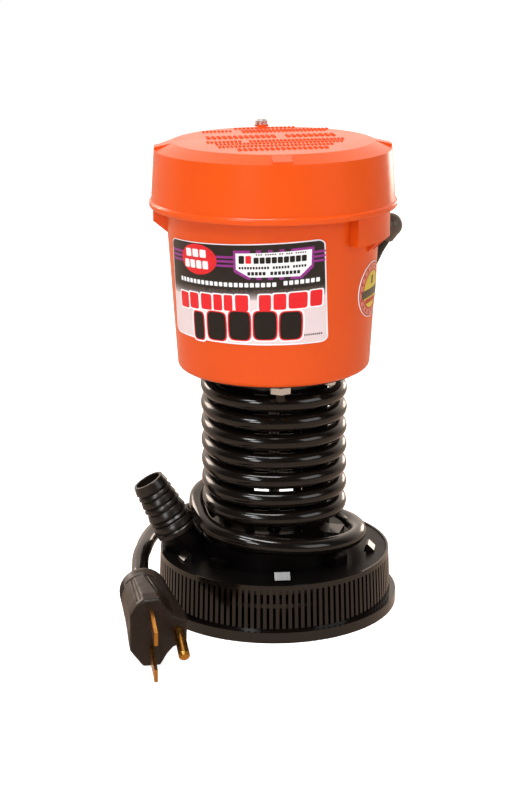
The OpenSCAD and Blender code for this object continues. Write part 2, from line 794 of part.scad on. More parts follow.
module front_label() {
    low = can_z + label_rise;
    side = label_w / 2 - LABEL_CORNER;
    top = low + label_h - LABEL_CORNER;
    color("white") intersection() {
        rotate_extrude() label_shell(low - 1, low + label_h + 1);
        turned(label_turn) translate([can_low_r / 2, 0, 0]) rotate([90, 0, 90])
            linear_extrude(height = can_low_r) polygon(concat(
                corner([-side, low + LABEL_CORNER], LABEL_CORNER, 180, 270, 4),
                corner([side, low + LABEL_CORNER + 0.7], LABEL_CORNER, -90, 0, 4),
                corner([side, top], LABEL_CORNER, 0, 90, 4),
                corner([-side, top - label_lift], LABEL_CORNER, 90, 180, 4)
            ));
    }
}

module side_label() {
    z = can_z + badge_rise;
    color("gold") intersection() {
        rotate_extrude() label_shell(z - badge_r - 1, z + badge_r + 1);
        turned(badge_turn) translate([can_low_r - badge_r, 0, z]) rotate([0, 90, 0])
            cylinder(r = badge_r, h = 2 * badge_r);
    }
}

// ---------------------------------------------------------------- motor

module through_studs() {
    low = flange_z - NUT_H - STUD_TAIL;
    color(STEEL) around(STUDS) translate([stud_circle_r, 0, 0]) {
        translate([0, 0, low]) cylinder(r = stud_r, h = stud_top_z - low + EPS);
        translate([0, 0, stud_top_z]) hex(NUT_AF, HEAD_H);
    }
}

module stud_nuts() {
    color(STEEL) around(STUDS) translate([stud_circle_r, 0, flange_z - NUT_H]) difference() {
        hex(NUT_AF, NUT_H);
        translate([0, 0, -1]) cylinder(r = stud_r + 0.03, h = NUT_H + 2);
    }
}

module spacer_sleeves() {
    color(STEEL) around(STUDS) for (z = [can_in_z, low_bracket_z + bracket_t, stack_top_z])
        translate([stud_circle_r, 0, z]) ring(spacer_r, stud_r + stud_gap, spacer_h);
}

module bracket(z, bearing_z) {
    arm_w = 8;
    pad_r = 4.4;
    color(STEEL) difference() {
        union() {
            around(STUDS) {
                translate([0, -arm_w / 2, z]) cube([stud_circle_r, arm_w, bracket_t]);
                translate([stud_circle_r, 0, z]) cylinder(r = pad_r, h = bracket_t);
            }
            translate([0, 0, bearing_z]) cylinder(r = hub_r, h = bearing_h);
        }
        translate([0, 0, bearing_z - 1]) cylinder(r = bearing_r, h = bearing_h + 2);
        around(STUDS) translate([stud_circle_r, 0, z - 1]) cylinder(r = stud_r + stud_gap, h = bracket_t + 2);
    }
}

module lower_bracket() {
    bracket(low_bracket_z, low_bearing_z);
}

module upper_bracket() {
    bracket(top_bracket_z, top_bearing_z);
}

module bearing(z) {
    color("#B08D57") translate([0, 0, z]) ring(bearing_r, shaft_r + run_gap, bearing_h);
}

module lower_bearing() {
    bearing(low_bearing_z);
}

module upper_bearing() {
    bearing(top_bearing_z);
}

module stator_stack() {
    ear = 4.6;
    shoe_half = 33;
    color("#8C8F94") translate([0, 0, stack_z]) difference() {
        union() {
            ring(stator_r, stator_r - stator_ring, stack_h);
            around(STUDS) translate([stud_circle_r - ear, -ear, 0]) difference() {
                translate([-1.4, 0, 0]) cube([ear + 1.4, 2 * ear, stack_h]);
                translate([ear - stud_circle_r, ear, -1]) cylinder(r = stator_r - 1, h = stack_h + 2);
            }
            around(STUDS) translate([stud_circle_r, 0, 0]) cylinder(r = ear, h = stack_h);
            around(4, 45) translate([pole_r + 1, -pole_w / 2, 0])
                cube([stator_r - stator_ring - pole_r, pole_w, stack_h]);
            around(4, 45) intersection() {
                ring(pole_r + SHOE_T, pole_r, stack_h);
                linear_extrude(height = stack_h) sector(2 * pole_r, shoe_half);
            }
        }
        around(STUDS) translate([stud_circle_r, 0, -1]) cylinder(r = stud_r + stud_gap, h = stack_h + 2);
    }
}

module stator_windings() {
    in_w = pole_w + 2 * COIL_GAP;
    in_h = stack_h + 2 * COIL_GAP;
    color("#B5652A") translate([0, 0, stack_z + stack_h / 2]) around(4, 45)
        translate([coil_in_r, 0, 0]) rotate([0, 90, 0])
            linear_extrude(height = coil_out_r - coil_in_r) difference() {
                square([in_h + 2 * coil_over, 2 * coil_half_w], center = true);
                square([in_h, in_w], center = true);
            }
}

module thermal_protector() {
    z = stack_top_z + COIL_GAP + coil_over + 0.3;
    wide = 14;
    color("#3A3A40") turned(45) translate([coil_in_r, -wide / 2, z])
        cube([coil_out_r - coil_in_r + 2, wide, 5]);
}

// The cord's last stretch inside the can, its three leads and their crimps
module inner_leads() {
    z = can_rim_z - gland_drop;
    jacket_in = 36;
    lead_l = 3;
    crimp_l = 5.5;
    apart = 2.3;
    turned(gland_turn) {
        color(CORD) translate([jacket_in, 0, z]) rotate([0, 90, 0])
            cylinder(r = cord_r, h = gland_reach - gland_r - jacket_in);
        for (i = [-1:1]) translate([jacket_in, i * apart, z]) rotate([0, -90, 0]) {
            color(BRASS) translate([0, 0, -EPS]) cylinder(r = 0.8, h = lead_l + 2 * EPS);
            color(STEEL) translate([0, 0, lead_l]) cylinder(r = 1.1, h = crimp_l);
        }
    }
}

// Moulded elbow that turns the cord down as it leaves the can
module cord_gland() {
    z = can_rim_z - gland_drop;
    wall_r = can_r(z);
    color(CORD) turned(gland_turn) difference() {
        union() {
            translate([wall_r - can_wall - 2.6, 0, z]) rotate([0, 90, 0])
                cylinder(r = gland_r, h = gland_reach - wall_r + can_wall + 2.6);
            translate([wall_r - can_wall - 2.6, 0, z]) rotate([0, 90, 0]) cylinder(r = gland_r + 1.4, h = 1.8);
            translate([wall_r + 0.7, 0, z]) rotate([0, 90, 0]) cylinder(r = gland_r + 1.4, h = 1.4);
            translate([gland_reach, 0, z]) sphere(r = gland_r + 0.1);
            translate([gland_reach, 0, z]) rotate([0, 0, GLAND_SWING]) rotate([0, 180 - GLAND_TILT, 0])
                cylinder(r1 = gland_r, r2 = gland_r - 0.6, h = gland_leg);
        }
        translate([0, 0, z]) rotate([0, 90, 0]) cylinder(r = cord_d / 2 + 0.02, h = gland_reach - gland_r);
    }
}

// ---------------------------------------------------------------- rotor

module shaft() {
    color(STEEL) translate([0, 0, shaft_low_z]) cylinder(r = shaft_r, h = shaft_top_z - shaft_low_z);
}

module rotor_core() {
    color("#7C7F84") difference() {
        union() {
            translate([0, 0, stack_z]) cylinder(r = rotor_r, h = stack_h);
            translate([0, 0, stack_z - end_ring_h]) cylinder(r = rotor_r - 1, h = stack_h + 2 * end_ring_h);
        }
        translate([0, 0, stack_z - end_ring_h - 1])
            cylinder(r = shaft_r, h = stack_h + 2 * end_ring_h + 2);
    }
}

module shaft_collars() {
    low_from = low_bearing_z + bearing_h + collar_gap;
    low_to = stack_z - end_ring_h;
    top_from = stack_top_z + end_ring_h;
    top_to = top_bearing_z - collar_gap;
    color(STEEL) {
        translate([0, 0, low_from]) ring(COLLAR_R, shaft_r, low_to - low_from);
        translate([0, 0, top_from]) ring(COLLAR_R, shaft_r, top_to - top_from);
    }
}

module cooling_fan() {
    hub = 7;
    color("#D8D8D2") translate([0, 0, fan_z]) difference() {
        union() {
            cylinder(r = hub, h = fan_h);
            cylinder(r = fan_r, h = 1.4);
            around(fan_blades) translate([hub - 1, -0.7, 0]) cube([fan_r - hub, 1.4, fan_h]);
        }
        translate([0, 0, -1]) cylinder(r = shaft_r, h = fan_h + 2);
    }
}

module slinger() {
    z = flange_z - 14;
    color("#2A2A2C") translate([0, 0, z]) difference() {
        union() {
            cylinder(r1 = slinger_r, r2 = slinger_r - 3, h = 2);
            cylinder(r = shaft_r + 2.5, h = 6);
        }
        translate([0, 0, -1]) cylinder(r = shaft_r, h = 8);
    }
}

module impeller() {
    hub = 6;
    sweep = 28;
    color("#2E2C2B") translate([0, 0, impeller_z]) difference() {
        union() {
            cylinder(r = hub, h = vane_h + shroud_t);
            translate([0, 0, vane_h]) cylinder(r = impeller_r, h = shroud_t);
            intersection() {
                cylinder(r = impeller_r, h = vane_h + EPS);
                around(vane_count) translate([hub - 2, 0, 0]) rotate([0, 0, sweep])
                    cube([impeller_r, 1.8, vane_h + EPS]);
            }
        }
        translate([0, 0, -1]) cylinder(r = shaft_r, h = vane_h + shroud_t + 2);
    }
}

// ---------------------------------------------------------------- cord

COIL_FROM = -158;
GLAND_TILT = 34;
GLAND_SWING = 126;
COIL_TO = 2280;
COIL_DROP = 10;
COIL_RINGS = 24;
COIL_SIDES = 6;
CORD_SIDES = 8;
SQUARE_R = 0.4;
LEVEL_Z = 1.2;
NOD_Z = 0.8;
ENTER = 0.0056;
ENTER_TO = -118;
coil_r = column_r + cord_r + wind_gap;

// Centre of the wound cord: it comes in from outside, drops one pitch a turn, lies nearly level
// across the front, stands a little higher behind, and is pushed out over the four legs
function coil_at(t) = at(
    t,
    coil_r - SQUARE_R * cos(4 * t) + ENTER * pow(max(0, ENTER_TO - t), 2),
    flange_z - COIL_DROP - cord_pitch * t / 360 + LEVEL_Z * sin(t) + NOD_Z * (1 - cos(t))
);
function coil_dir(t) = unit(coil_at(t + 0.5) - coil_at(t - 0.5));

coil_start = coil_at(COIL_FROM) - cord_d * coil_dir(COIL_FROM);
coil_end = coil_at(COIL_TO) + cord_d * coil_dir(COIL_TO);
coil_steps = ceil((COIL_TO - COIL_FROM) / 360 * COIL_RINGS);
coil_line = concat(
    [coil_start],
    [for (i = [0:coil_steps]) coil_at(COIL_FROM + (COIL_TO - COIL_FROM) * i / coil_steps)],
    [coil_end]
);
coil_dirs = concat(
    [coil_dir(COIL_FROM)],
    [for (i = [0:coil_steps]) coil_dir(COIL_FROM + (COIL_TO - COIL_FROM) * i / coil_steps)],
    [coil_dir(COIL_TO)]
);

// Least distance between the surfaces of turns that lie beside each other
coil_gap = min([for (i = [0:coil_steps]) for (j = [i + COIL_RINGS / 2:1:coil_steps])
    norm(coil_line[i] - coil_line[j])]) - cord_d;
echo(coil_gap = coil_gap);

// Directions, radii and heights along the free stretches, chosen by hand
LEAD = [
    [114, 50.8, 156.5], [119.5, 50.4, 150.5], [126, 50.2, 144], [134, 50, 137.5],
    [143, 49.8, 130.5], [152, 49.9, 123.5], [161, 50.9, 117], [171, 52.4, 111.8]
];
TAIL = [
    [166, 37.3, 48.6], [184, 38.3, 49], [202, 38.6, 49], [221, 38.3, 48.6],
    [239, 37.8, 48], [252, 37, 47.1], [264, 35.9, 45.6], [277, 35.3, 44.2], [294, 36, 42.6], [312, 36.7, 41.2],
    [330, 37, 40.4], [348, 37, 39], [366, 37.2, 37.8], [384, 37.6, 36.6], [402, 38.2, 35.4],
    [420, 38.8, 34.4], [438, 39.2, 33.4], [456, 39.2, 32.6], [474, 38.8, 31.8], [492, 38.4, 31.2],
    [508, 38.8, 30.6], [524, 40.8, 30], [539, 44, 29.8], [554, 47.8, 29.8], [568, 51.2, 29.8],
    [582, 54, 30], [596, 56.6, 29.2], [610, 57.8, 28.1], [623, 58.4, 27.8], [636, 59.6, 28],
    [647, 62.8, 27.6]
];

// A smooth curve through its points, with a number of rings for each span
function bend(a, b, c, d, t) =
    0.5 * (2 * b + (c - a) * t + (2 * a - 5 * b + 4 * c - d) * t * t + (3 * b - a - 3 * c + d) * t * t * t);
function smooth(p, n) = let (last = len(p) - 1) concat(
    [for (i = [0:last - 1], k = [0:n - 1])
        bend(i == 0 ? 2 * p[0] - p[1] : p[i - 1], p[i], p[i + 1],
             i + 1 == last ? 2 * p[last] - p[last - 1] : p[i + 2], k / n)],
    [p[last]]
);
function route(list) = [for (q = list) at(q[0], q[1], q[2])];
function line_dirs(p) = [for (i = [0:len(p) - 1])
    unit(p[min(i + 1, len(p) - 1)] - p[max(i - 1, 0)])];
function line_length(p, i = 0) = i >= len(p) - 1 ? 0 : norm(p[i + 1] - p[i]) + line_length(p, i + 1);

function turn_x(a, v) = [v[0], v[1] * cos(a) - v[2] * sin(a), v[1] * sin(a) + v[2] * cos(a)];
function turn_z(a, v) = [v[0] * cos(a) - v[1] * sin(a), v[0] * sin(a) + v[1] * cos(a), v[2]];
gland_dir = turn_z(gland_turn - 90 + GLAND_SWING, [sin(GLAND_TILT), 0, -cos(GLAND_TILT)]);
gland_end = at(gland_turn, gland_reach, can_rim_z - gland_drop) + gland_leg * gland_dir;
lead_line = concat(
    [gland_end],
    smooth(concat([gland_end + cord_d * gland_dir], route(LEAD),
                  [coil_start - cord_d * coil_dir(COIL_FROM)]), 2),
    [coil_start]
);

// The plug lies on the floor on its front edge, its blades towards the front
PLUG_AT = [-59, -81.1, 17.2];
PLUG_TURN = [10.5, 0, 5.6];
PLUG_CORD_X = 2.5;
function on_plug(v) = PLUG_AT + turn_z(PLUG_TURN[2], turn_x(PLUG_TURN[0], v));
plug_end = on_plug([PLUG_CORD_X, plug_l, 0]);
plug_back = on_plug([PLUG_CORD_X, plug_l + cord_d, 0]);

tail_line = concat(
    [coil_end],
    smooth(concat([coil_end + cord_d * coil_dir(COIL_TO)], route(TAIL), [plug_back]), 2),
    [plug_end]
);
cord_length = line_length(lead_line) + line_length(coil_line) + line_length(tail_line);
echo(cord_length = cord_length);
echo(rings = [len(lead_line), len(coil_line), len(tail_line)]);

// Normals carried along a line so that the tube doesn't twist
function carry(d, start) =
    [for (i = 0, n = unit(start - (start * d[0]) * d[0]); i < len(d);
          i = i + 1, n = i < len(d) ? unit(n - (n * d[i]) * d[i]) : n) n];

module tube(line, dirs, r, sides) {
    normals = carry(dirs, abs(dirs[0][2]) > 0.7 ? [1, 0.2, 0] : [0, 0, 1]);
    count = len(line);
    points = [for (i = [0:count - 1]) let (n = normals[i], m = cross(dirs[i], n))
        for (k = [0:sides - 1]) line[i] + r * (cos(360 * k / sides) * n + sin(360 * k / sides) * m)];
    walls = [for (i = [0:count - 2], k = [0:sides - 1]) let (a = i * sides + k,
        b = i * sides + (k + 1) % sides) each [[a, a + sides, b], [b, a + sides, b + sides]]];
    first = [for (k = [1:sides - 2]) [0, k, k + 1]];
    last = [for (k = [1:sides - 2]) let (o = (count - 1) * sides) [o, o + k + 1, o + k]];
    polyhedron(points = points, faces = concat(walls, first, last));
}

module cord_lead() {
    color(CORD) tube(lead_line, line_dirs(lead_line), cord_r, CORD_SIDES);
}

module cord_coil() {
    color(CORD) tube(coil_line, coil_dirs, cord_r, COIL_SIDES);
}

module cord_tail() {
    color(CORD) tube(tail_line, line_dirs(tail_line), cord_r, CORD_SIDES);
}

// ---------------------------------------------------------------- plug

FACE_T = 9;
ROOT_L = 8;
ROOT_GAP = 0.05;

module plug_face() {
    upper = [[-7.8, 9], [-2.8, 16.9], [5.4, 16.9], [10.9, 8.6], [16.5, 4.8]];
    polygon(concat(upper, [for (i = [len(upper) - 1:-1:0]) [upper[i][0], -upper[i][1]]]));
}

module plug_pose() {
    translate(PLUG_AT) rotate([0, 0, PLUG_TURN[2]]) rotate([PLUG_TURN[0], 0, 0]) children();
}

module blade(grow) {
    translate([-blade_t / 2 - grow, -blade_l, -blade_w / 2 - grow])
        cube([blade_t + 2 * grow, blade_l + ROOT_L + grow, blade_w + 2 * grow]);
}

module plug_body() {
    color(BLACK) plug_pose() difference() {
        hull() {
            rotate([90, 0, 0]) translate([0, 0, -FACE_T]) linear_extrude(height = FACE_T) plug_face();
            translate([PLUG_CORD_X, plug_l - 4, 0]) rotate([-90, 0, 0])
                cylinder(r1 = plug_end_r, r2 = plug_end_r - 2.5, h = 4, $fn = 32);
        }
        for (side = [-1, 1]) translate([0, 0, side * blade_pitch / 2]) blade(ROOT_GAP);
        translate([earth_x, -1, 0]) rotate([-90, 0, 0])
            cylinder(r = earth_r + ROOT_GAP, h = ROOT_L + 1 + ROOT_GAP);
    }
}

module plug_blades() {
    color(BRASS) plug_pose() for (side = [-1, 1]) translate([0, 0, side * blade_pitch / 2]) blade(0);
}

module plug_earth_pin() {
    color(BRASS) plug_pose() translate([earth_x, ROOT_L, 0]) rotate([90, 0, 0]) {
        cylinder(r = earth_r, h = earth_l + ROOT_L - 1.2);
        translate([0, 0, earth_l + ROOT_L - 1.2 - EPS]) cylinder(r1 = earth_r, r2 = earth_r - 0.8, h = 1.2);
    }
}

// ---------------------------------------------------------------- nodes

strainer_basket();
pump_housing();
chamber_cover();
cover_screws();
outlet_nozzle();
column();
column_foot_screws();
motor_can();
can_screws();
cap();
cap_screw();
front_label();
side_label();
through_studs();
stud_nuts();
spacer_sleeves();
lower_bracket();
upper_bracket();
lower_bearing();
upper_bearing();
stator_stack();
stator_windings();
thermal_protector();
inner_leads();
cord_gland();
shaft();
rotor_core();
shaft_collars();
cooling_fan();
slinger();
impeller();
cord_lead();
cord_coil();
cord_tail();
plug_body();
plug_blades();
plug_earth_pin();
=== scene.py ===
"""An evaporative cooler's circulation pump: finishes for its solid parts, and finer surfaces for
the mains cord, the plug, the hose tail, the printed labels, the cap's raised marks and the motor
windings. Shapes are worked out in millimetres and go into their meshes in metres."""

import math

import bpy
import numpy as np
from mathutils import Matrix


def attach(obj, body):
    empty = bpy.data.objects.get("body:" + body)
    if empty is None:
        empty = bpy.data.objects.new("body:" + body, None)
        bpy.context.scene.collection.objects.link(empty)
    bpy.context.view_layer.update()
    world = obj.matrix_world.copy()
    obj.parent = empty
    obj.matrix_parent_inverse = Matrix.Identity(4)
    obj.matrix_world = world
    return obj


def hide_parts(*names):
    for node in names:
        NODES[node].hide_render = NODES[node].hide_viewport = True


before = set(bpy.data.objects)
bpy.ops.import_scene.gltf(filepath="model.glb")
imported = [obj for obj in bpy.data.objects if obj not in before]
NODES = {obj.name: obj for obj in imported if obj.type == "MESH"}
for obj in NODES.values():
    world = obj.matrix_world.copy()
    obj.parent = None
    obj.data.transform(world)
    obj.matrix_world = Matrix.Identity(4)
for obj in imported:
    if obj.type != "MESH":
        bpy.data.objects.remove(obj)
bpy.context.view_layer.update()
MM = 0.001
FRAME_BODY = "pump_frame"

# ------------------------------------------------------------------ camera

LENS_MM, SENSOR_MM, SEES_TO = 81.67, 36.0, 20.0
CAMERA_AT = (-0.0615, -0.7989, 0.3270)
CAMERA_TURN = (73.93, 0.29, -4.08)


def place_camera():
    """A long lens, a little above the pump and almost straight in front of it."""
    data = bpy.data.cameras.new("camera")
    data.sensor_width = SENSOR_MM
    data.lens = LENS_MM
    data.clip_end = SEES_TO
    camera = bpy.data.objects.new("camera", data)
    camera.location = CAMERA_AT
    camera.rotation_euler = [math.radians(a) for a in CAMERA_TURN]
    bpy.context.scene.collection.objects.link(camera)
    bpy.context.scene.camera = camera


place_camera()
bpy.context.scene.view_settings.view_transform = "Standard"

# ------------------------------------------------------------------ surfaces


def points_of(x, y, z):
    """One array of points from coordinates whose shapes fit together."""
    return np.stack(np.broadcast_arrays(x, y, z), axis=-1)


def at(turn, r, z):
    """Points by direction in degrees from the front towards +X, radius and height:
    x = r sin(turn), y = -r cos(turn)."""
    angle = np.radians(turn)
    return points_of(r * np.sin(angle), -r * np.cos(angle), z)


def around(count):
    """Angles in radians, evenly spaced over a full turn."""
    return np.linspace(0, 2 * math.pi, count, endpoint=False)


def bunched(count, shy):
    """Places from -1 to 1, closer together toward the ends and `shy` radians short of them."""
    return -np.cos(np.linspace(shy, math.pi - shy, count))


def unit(v):
    """Each vector over its own length."""
    return v / np.linalg.norm(v, axis=-1, keepdims=True)


def turned(points, degrees, axis):
    """Points turned about a coordinate axis (0, 1 or 2 for X, Y or Z) by the right-hand rule."""
    a = math.radians(degrees)
    i, j = [(1, 2), (2, 0), (0, 1)][axis]
    before = np.asarray(points, dtype=float)
    after = before.copy()
    after[..., i] = math.cos(a) * before[..., i] - math.sin(a) * before[..., j]
    after[..., j] = math.sin(a) * before[..., i] + math.cos(a) * before[..., j]
    return after


def quads(rows, cols):
    """Faces between neighbouring rows of a grid whose last column joins its first."""
    i = np.arange(rows - 1)[:, None] * cols
    j = np.arange(cols)[None, :]
    k = (j + 1) % cols
    return np.stack([i + j, i + k, i + cols + k, i + cols + j], axis=-1).reshape(-1, 4)


def skin(rings):
    """Closed surface over rings of points (rows, cols, 3), a fan round the middle of each end."""
    rows, cols = rings.shape[:2]
    points = np.vstack([rings.reshape(-1, 3), rings[0].mean(0), rings[-1].mean(0)])
    j = np.arange(cols)
    k = (j + 1) % cols
    low, high = rows * cols, rows * cols + 1
    top = (rows - 1) * cols
    fans = np.vstack([
        np.stack([k, j, np.full(cols, low)], axis=-1),
        np.stack([top + j, top + k, np.full(cols, high)], axis=-1),
    ])
    return points, quads(rows, cols), fans


def hoop(rings):
    """Closed surface over rings that come back to the first one, like a doughnut."""
    rows, cols = rings.shape[:2]
    i = np.arange(rows)[:, None]
    j = np.arange(cols)[None, :]
    n, k = (i + 1) % rows, (j + 1) % cols
    faces = np.stack([i * cols + j, i * cols + k, n * cols + k, n * cols + j], axis=-1)
    return rings.reshape(-1, 3), faces.reshape(-1, 4), np.zeros((0, 3), dtype=int)


def make(name, parts, finish, crease=35.0):
    """One piece of the pump's frame from a list of surfaces, in millimetres, with its faces smooth
    up to a crease in degrees."""
    points, faces, start = [], [], 0
    for p, four, three in parts:
        points.append(p)
        faces += (four + start).tolist() + (three + start).tolist()
        start += len(p)
    mesh = bpy.data.meshes.new(name)
    mesh.from_pydata((np.vstack(points) * MM).tolist(), [], faces)
    mesh.polygons.foreach_set("use_smooth", np.ones(len(faces), dtype=bool))
    mesh.set_sharp_from_angle(angle=math.radians(crease))
    mesh.materials.append(finish)
    piece = bpy.data.objects.new(name, mesh)
    bpy.context.scene.collection.objects.link(piece)
    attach(piece, FRAME_BODY)
    return piece


# ------------------------------------------------------------------ shader nodes

# Most of a noise's values lie between these two
NOISE_LOW, NOISE_HIGH = 0.3, 0.7
# Bare metal: shares of its roughness where polished and where worn, and its scratches' depth
POLISHED, WORN, SCRATCH_DEPTH_MM = 0.7, 1.4, 0.01
# The clear film over the print, and the grains of an ink's mottle and of the dark field's clouds
FILM_ROUGH, FILM_SPECULAR, MOTTLE_MM, CLOUD_MM = 0.35, 0.4, 1.6, 9.0


def colour(code):
    """An sRGB hex value as linear red, green, blue and full opacity."""
    c = np.array([int(code[i:i + 2], 16) for i in (1, 3, 5)]) / 255.0
    linear = np.where(c <= 0.04045, c / 12.92, ((c + 0.055) / 1.055) ** 2.4)
    return (*linear.tolist(), 1.0)


def give(tree, node, inputs):
    """Gives each named input of a node a value, or a link from a socket."""
    for name, value in inputs.items():
        if isinstance(value, bpy.types.NodeSocket):
            tree.links.new(value, node.inputs[name])
        else:
            node.inputs[name].default_value = value


def add(tree, kind, inputs=None, **settings):
    """Adds a node, sets its properties, and gives it its inputs."""
    node = tree.nodes.new(kind)
    for name, value in settings.items():
        setattr(node, name, value)
    give(tree, node, inputs or {})
    return node


def start_finish(name):
    """A material with its principled shader and the object's own coordinates."""
    material = bpy.data.materials.new(name)
    material.use_nodes = True
    tree = material.node_tree
    shader = tree.nodes["Principled BSDF"]
    place = add(tree, "ShaderNodeTexCoord").outputs["Object"]
    return material, tree, shader, place


def per_metre(size_mm):
    """How many of this size go into a metre, which is the scale that a noise takes."""
    return 1000.0 / size_mm


def noise(tree, place, size_mm, detail):
    """A noise's values over grains of this size."""
    inputs = {"Vector": place, "Scale": per_metre(size_mm), "Detail": detail}
    return add(tree, "ShaderNodeTexNoise", inputs).outputs["Fac"]


def mix(tree, factor, a, b):
    """A colour between two, each a hex value or a socket."""
    a, b = [colour(c) if isinstance(c, str) else c for c in (a, b)]
    inputs = {"Factor": factor, "A": a, "B": b}
    return add(tree, "ShaderNodeMix", inputs, data_type="RGBA").outputs["Result"]


def spread(tree, value, low, high, from_low=NOISE_LOW, from_high=NOISE_HIGH):
    """A value's range, which is a noise's unless another is given, stretched over low to high."""
    inputs = {"Value": value, "From Min": from_low, "From Max": from_high,
              "To Min": low, "To Max": high}
    return add(tree, "ShaderNodeMapRange", inputs).outputs["Result"]


def relief(tree, height, depth_mm, over=None, invert=False):
    """The normal of a surface raised by this depth, over another normal if one is given."""
    inputs = {"Height": height, "Distance": depth_mm * MM}
    if over is not None:
        inputs["Normal"] = over
    return add(tree, "ShaderNodeBump", inputs, invert=invert).outputs["Normal"]


def maths(tree, operation, *values, **settings):
    """The result of one sum on numbers or sockets."""
    inputs = dict(enumerate(values))
    return add(tree, "ShaderNodeMath", inputs, operation=operation, **settings).outputs[0]


# ------------------------------------------------------------------ finishes


def moulded(name, base, shade, rough, rough_spread, grain_mm, grain_depth_mm, swell_mm,
            swell_depth_mm=0.02, specular=0.5):
    """Moulded plastic: two near colours mixed by a broad noise, fine grain from the mould's wall,
    and the slow swell that a thick wall takes as it cools."""
    material, tree, shader, place = start_finish(name)
    broad = noise(tree, place, swell_mm, detail=3.0)
    fine = noise(tree, place, grain_mm, detail=2.0)
    swell = relief(tree, broad, swell_depth_mm)
    give(tree, shader, {
        "Base Color": mix(tree, broad, base, shade),
        "Roughness": spread(tree, broad, rough - rough_spread, rough + rough_spread),
        "Normal": relief(tree, fine, grain_depth_mm, over=swell),
        "Specular IOR Level": specular,
    })
    return material


def metal(name, base, shade, rough, scratch_mm, stretch=(1.0, 1.0, 1.0)):
    """Bare or plated metal: streaks of two near colours, drawn out along an axis whose stretch
    is under 1."""
    material, tree, shader, place = start_finish(name)
    drawn = add(tree, "ShaderNodeMapping", {"Vector": place, "Scale": stretch})
    streak = noise(tree, drawn.outputs["Vector"], scratch_mm, detail=4.0)
    give(tree, shader, {
        "Base Color": mix(tree, streak, base, shade),
        "Roughness": spread(tree, streak, rough * POLISHED, rough * WORN),
        "Normal": relief(tree, streak, SCRATCH_DEPTH_MM),
        "Metallic": 1.0,
    })
    return material


def banded(name, base, line, pitch_mm, line_part, line_depth_mm, rough, metallic):
    """Stacked sheet: dark joints between bands of one height, each joint a share of its band."""
    material, tree, shader, place = start_finish(name)
    height = add(tree, "ShaderNodeSeparateXYZ", {"Vector": place}).outputs["Z"]
    part = maths(tree, "FRACT", maths(tree, "MULTIPLY", height, per_metre(pitch_mm)))
    joint = maths(tree, "LESS_THAN", part, line_part)
    give(tree, shader, {
        "Base Color": mix(tree, joint, base, line),
        "Normal": relief(tree, joint, line_depth_mm, invert=True),
        "Roughness": rough,
        "Metallic": metallic,
    })
    return material


def printed(name, base, shade):
    """Printing ink under clear film: nearly flat colour with a faint mottle."""
    material, tree, shader, place = start_finish(name)
    mottle = noise(tree, place, MOTTLE_MM, detail=2.0)
    give(tree, shader, {
        "Base Color": mix(tree, mottle, base, shade),
        "Roughness": FILM_ROUGH,
        "Specular IOR Level": FILM_SPECULAR,
    })
    return material


# Plastics give two colours, roughness and its spread, and the grain's size and depth; metals give
# two colours, roughness and the size of a scratch

# Polypropylene shell from a polished mould: even strong orange, soft broad gloss
ORANGE = moulded("orange_polypropylene", "#E5550F", "#E54C0C", 0.24, 0.03, 0.6, 0.002,
                 swell_mm=22.0, specular=0.36)
# The cap's raised lines, whose tops are dulled by wear
MARK = moulded("orange_polypropylene_marks", "#F04E12", "#E8480E", 0.6, 0.03, 0.6, 0.002,
               swell_mm=22.0, specular=0.1)
# Black polypropylene from a polished mould: near black, with sharp reflections
BLACK = moulded("black_polypropylene", "#0C0908", "#120D0A", 0.14, 0.04, 0.5, 0.003,
                swell_mm=12.0)
# The deck: textured, and darker and duller than the other black resin as painted shade
SHADED_DECK = moulded("black_polypropylene_deck_painted_shade", "#070505", "#0B0807", 0.36, 0.05, 0.6, 0.01,
               swell_mm=12.0, specular=0.12)
# Ribbed hose tail, the same resin with a duller skin; its lighter base colour is painted light
LIT_BARB = moulded("black_polypropylene_barb_painted_light", "#15100D", "#1E1712", 0.3, 0.04, 0.5, 0.003,
               swell_mm=8.0, swell_depth_mm=0.006)
# Extruded PVC jacket: glossy black, slightly wavy along its length
JACKET = moulded("black_vinyl_jacket", "#0D0A08", "#130E0B", 0.15, 0.04, 1.2, 0.010,
                 swell_mm=9.0, swell_depth_mm=0.05, specular=0.45)
# Moulded PVC boot where the cord turns down: duller and greyer than the jacket
BOOT = moulded("vinyl_boot", "#4E4539", "#5C5143", 0.38, 0.06, 0.8, 0.012, swell_mm=6.0)
# Plug overmoulded in PVC: spark-eroded mould, so a fine matt grain
PLUG = moulded("moulded_vinyl_plug", "#170D07", "#261810", 0.42, 0.08, 0.9, 0.12,
               swell_mm=5.0, specular=0.33)
# Nitrile rubber slinger
RUBBER = moulded("nitrile_rubber", "#2A2A2C", "#343436", 0.6, 0.05, 0.5, 0.02, swell_mm=6.0)
# Glass-filled nylon fan and impeller, off-white
NYLON = moulded("natural_nylon", "#DAD8CF", "#CFCCC0", 0.42, 0.05, 0.7, 0.02, swell_mm=9.0)
# Vinyl sleeve over the thermal cut-out and its leads
SLEEVE = moulded("vinyl_sleeving", "#34353A", "#3E3F45", 0.45, 0.05, 0.6, 0.02, swell_mm=5.0)
# Bright zinc plate on steel screws and nuts
ZINC = metal("zinc_plate", "#ECEDEE", "#D2D4D6", 0.34, 1.2)
# Oiled black steel studs
OILED = metal("oiled_steel", "#4A4644", "#34302E", 0.4, 0.9)
# Ground carbon steel
STEEL = metal("ground_steel", "#B9BBBD", "#9EA1A4", 0.3, 0.8, stretch=(1.0, 1.0, 0.1))
# Pressed steel bracket, zinc plated and a little dull
PRESSED = metal("pressed_steel", "#AEB0B2", "#94979B", 0.42, 2.5)
# Sheet brass blades, rolled, with a warm worn face
BRASS = metal("rolled_brass", "#D7A04E", "#B07A30", 0.26, 1.0, stretch=(1.0, 0.15, 1.0))
# Sintered bronze bearings
BRONZE = metal("sintered_bronze", "#9C7A4B", "#85653B", 0.5, 0.4)
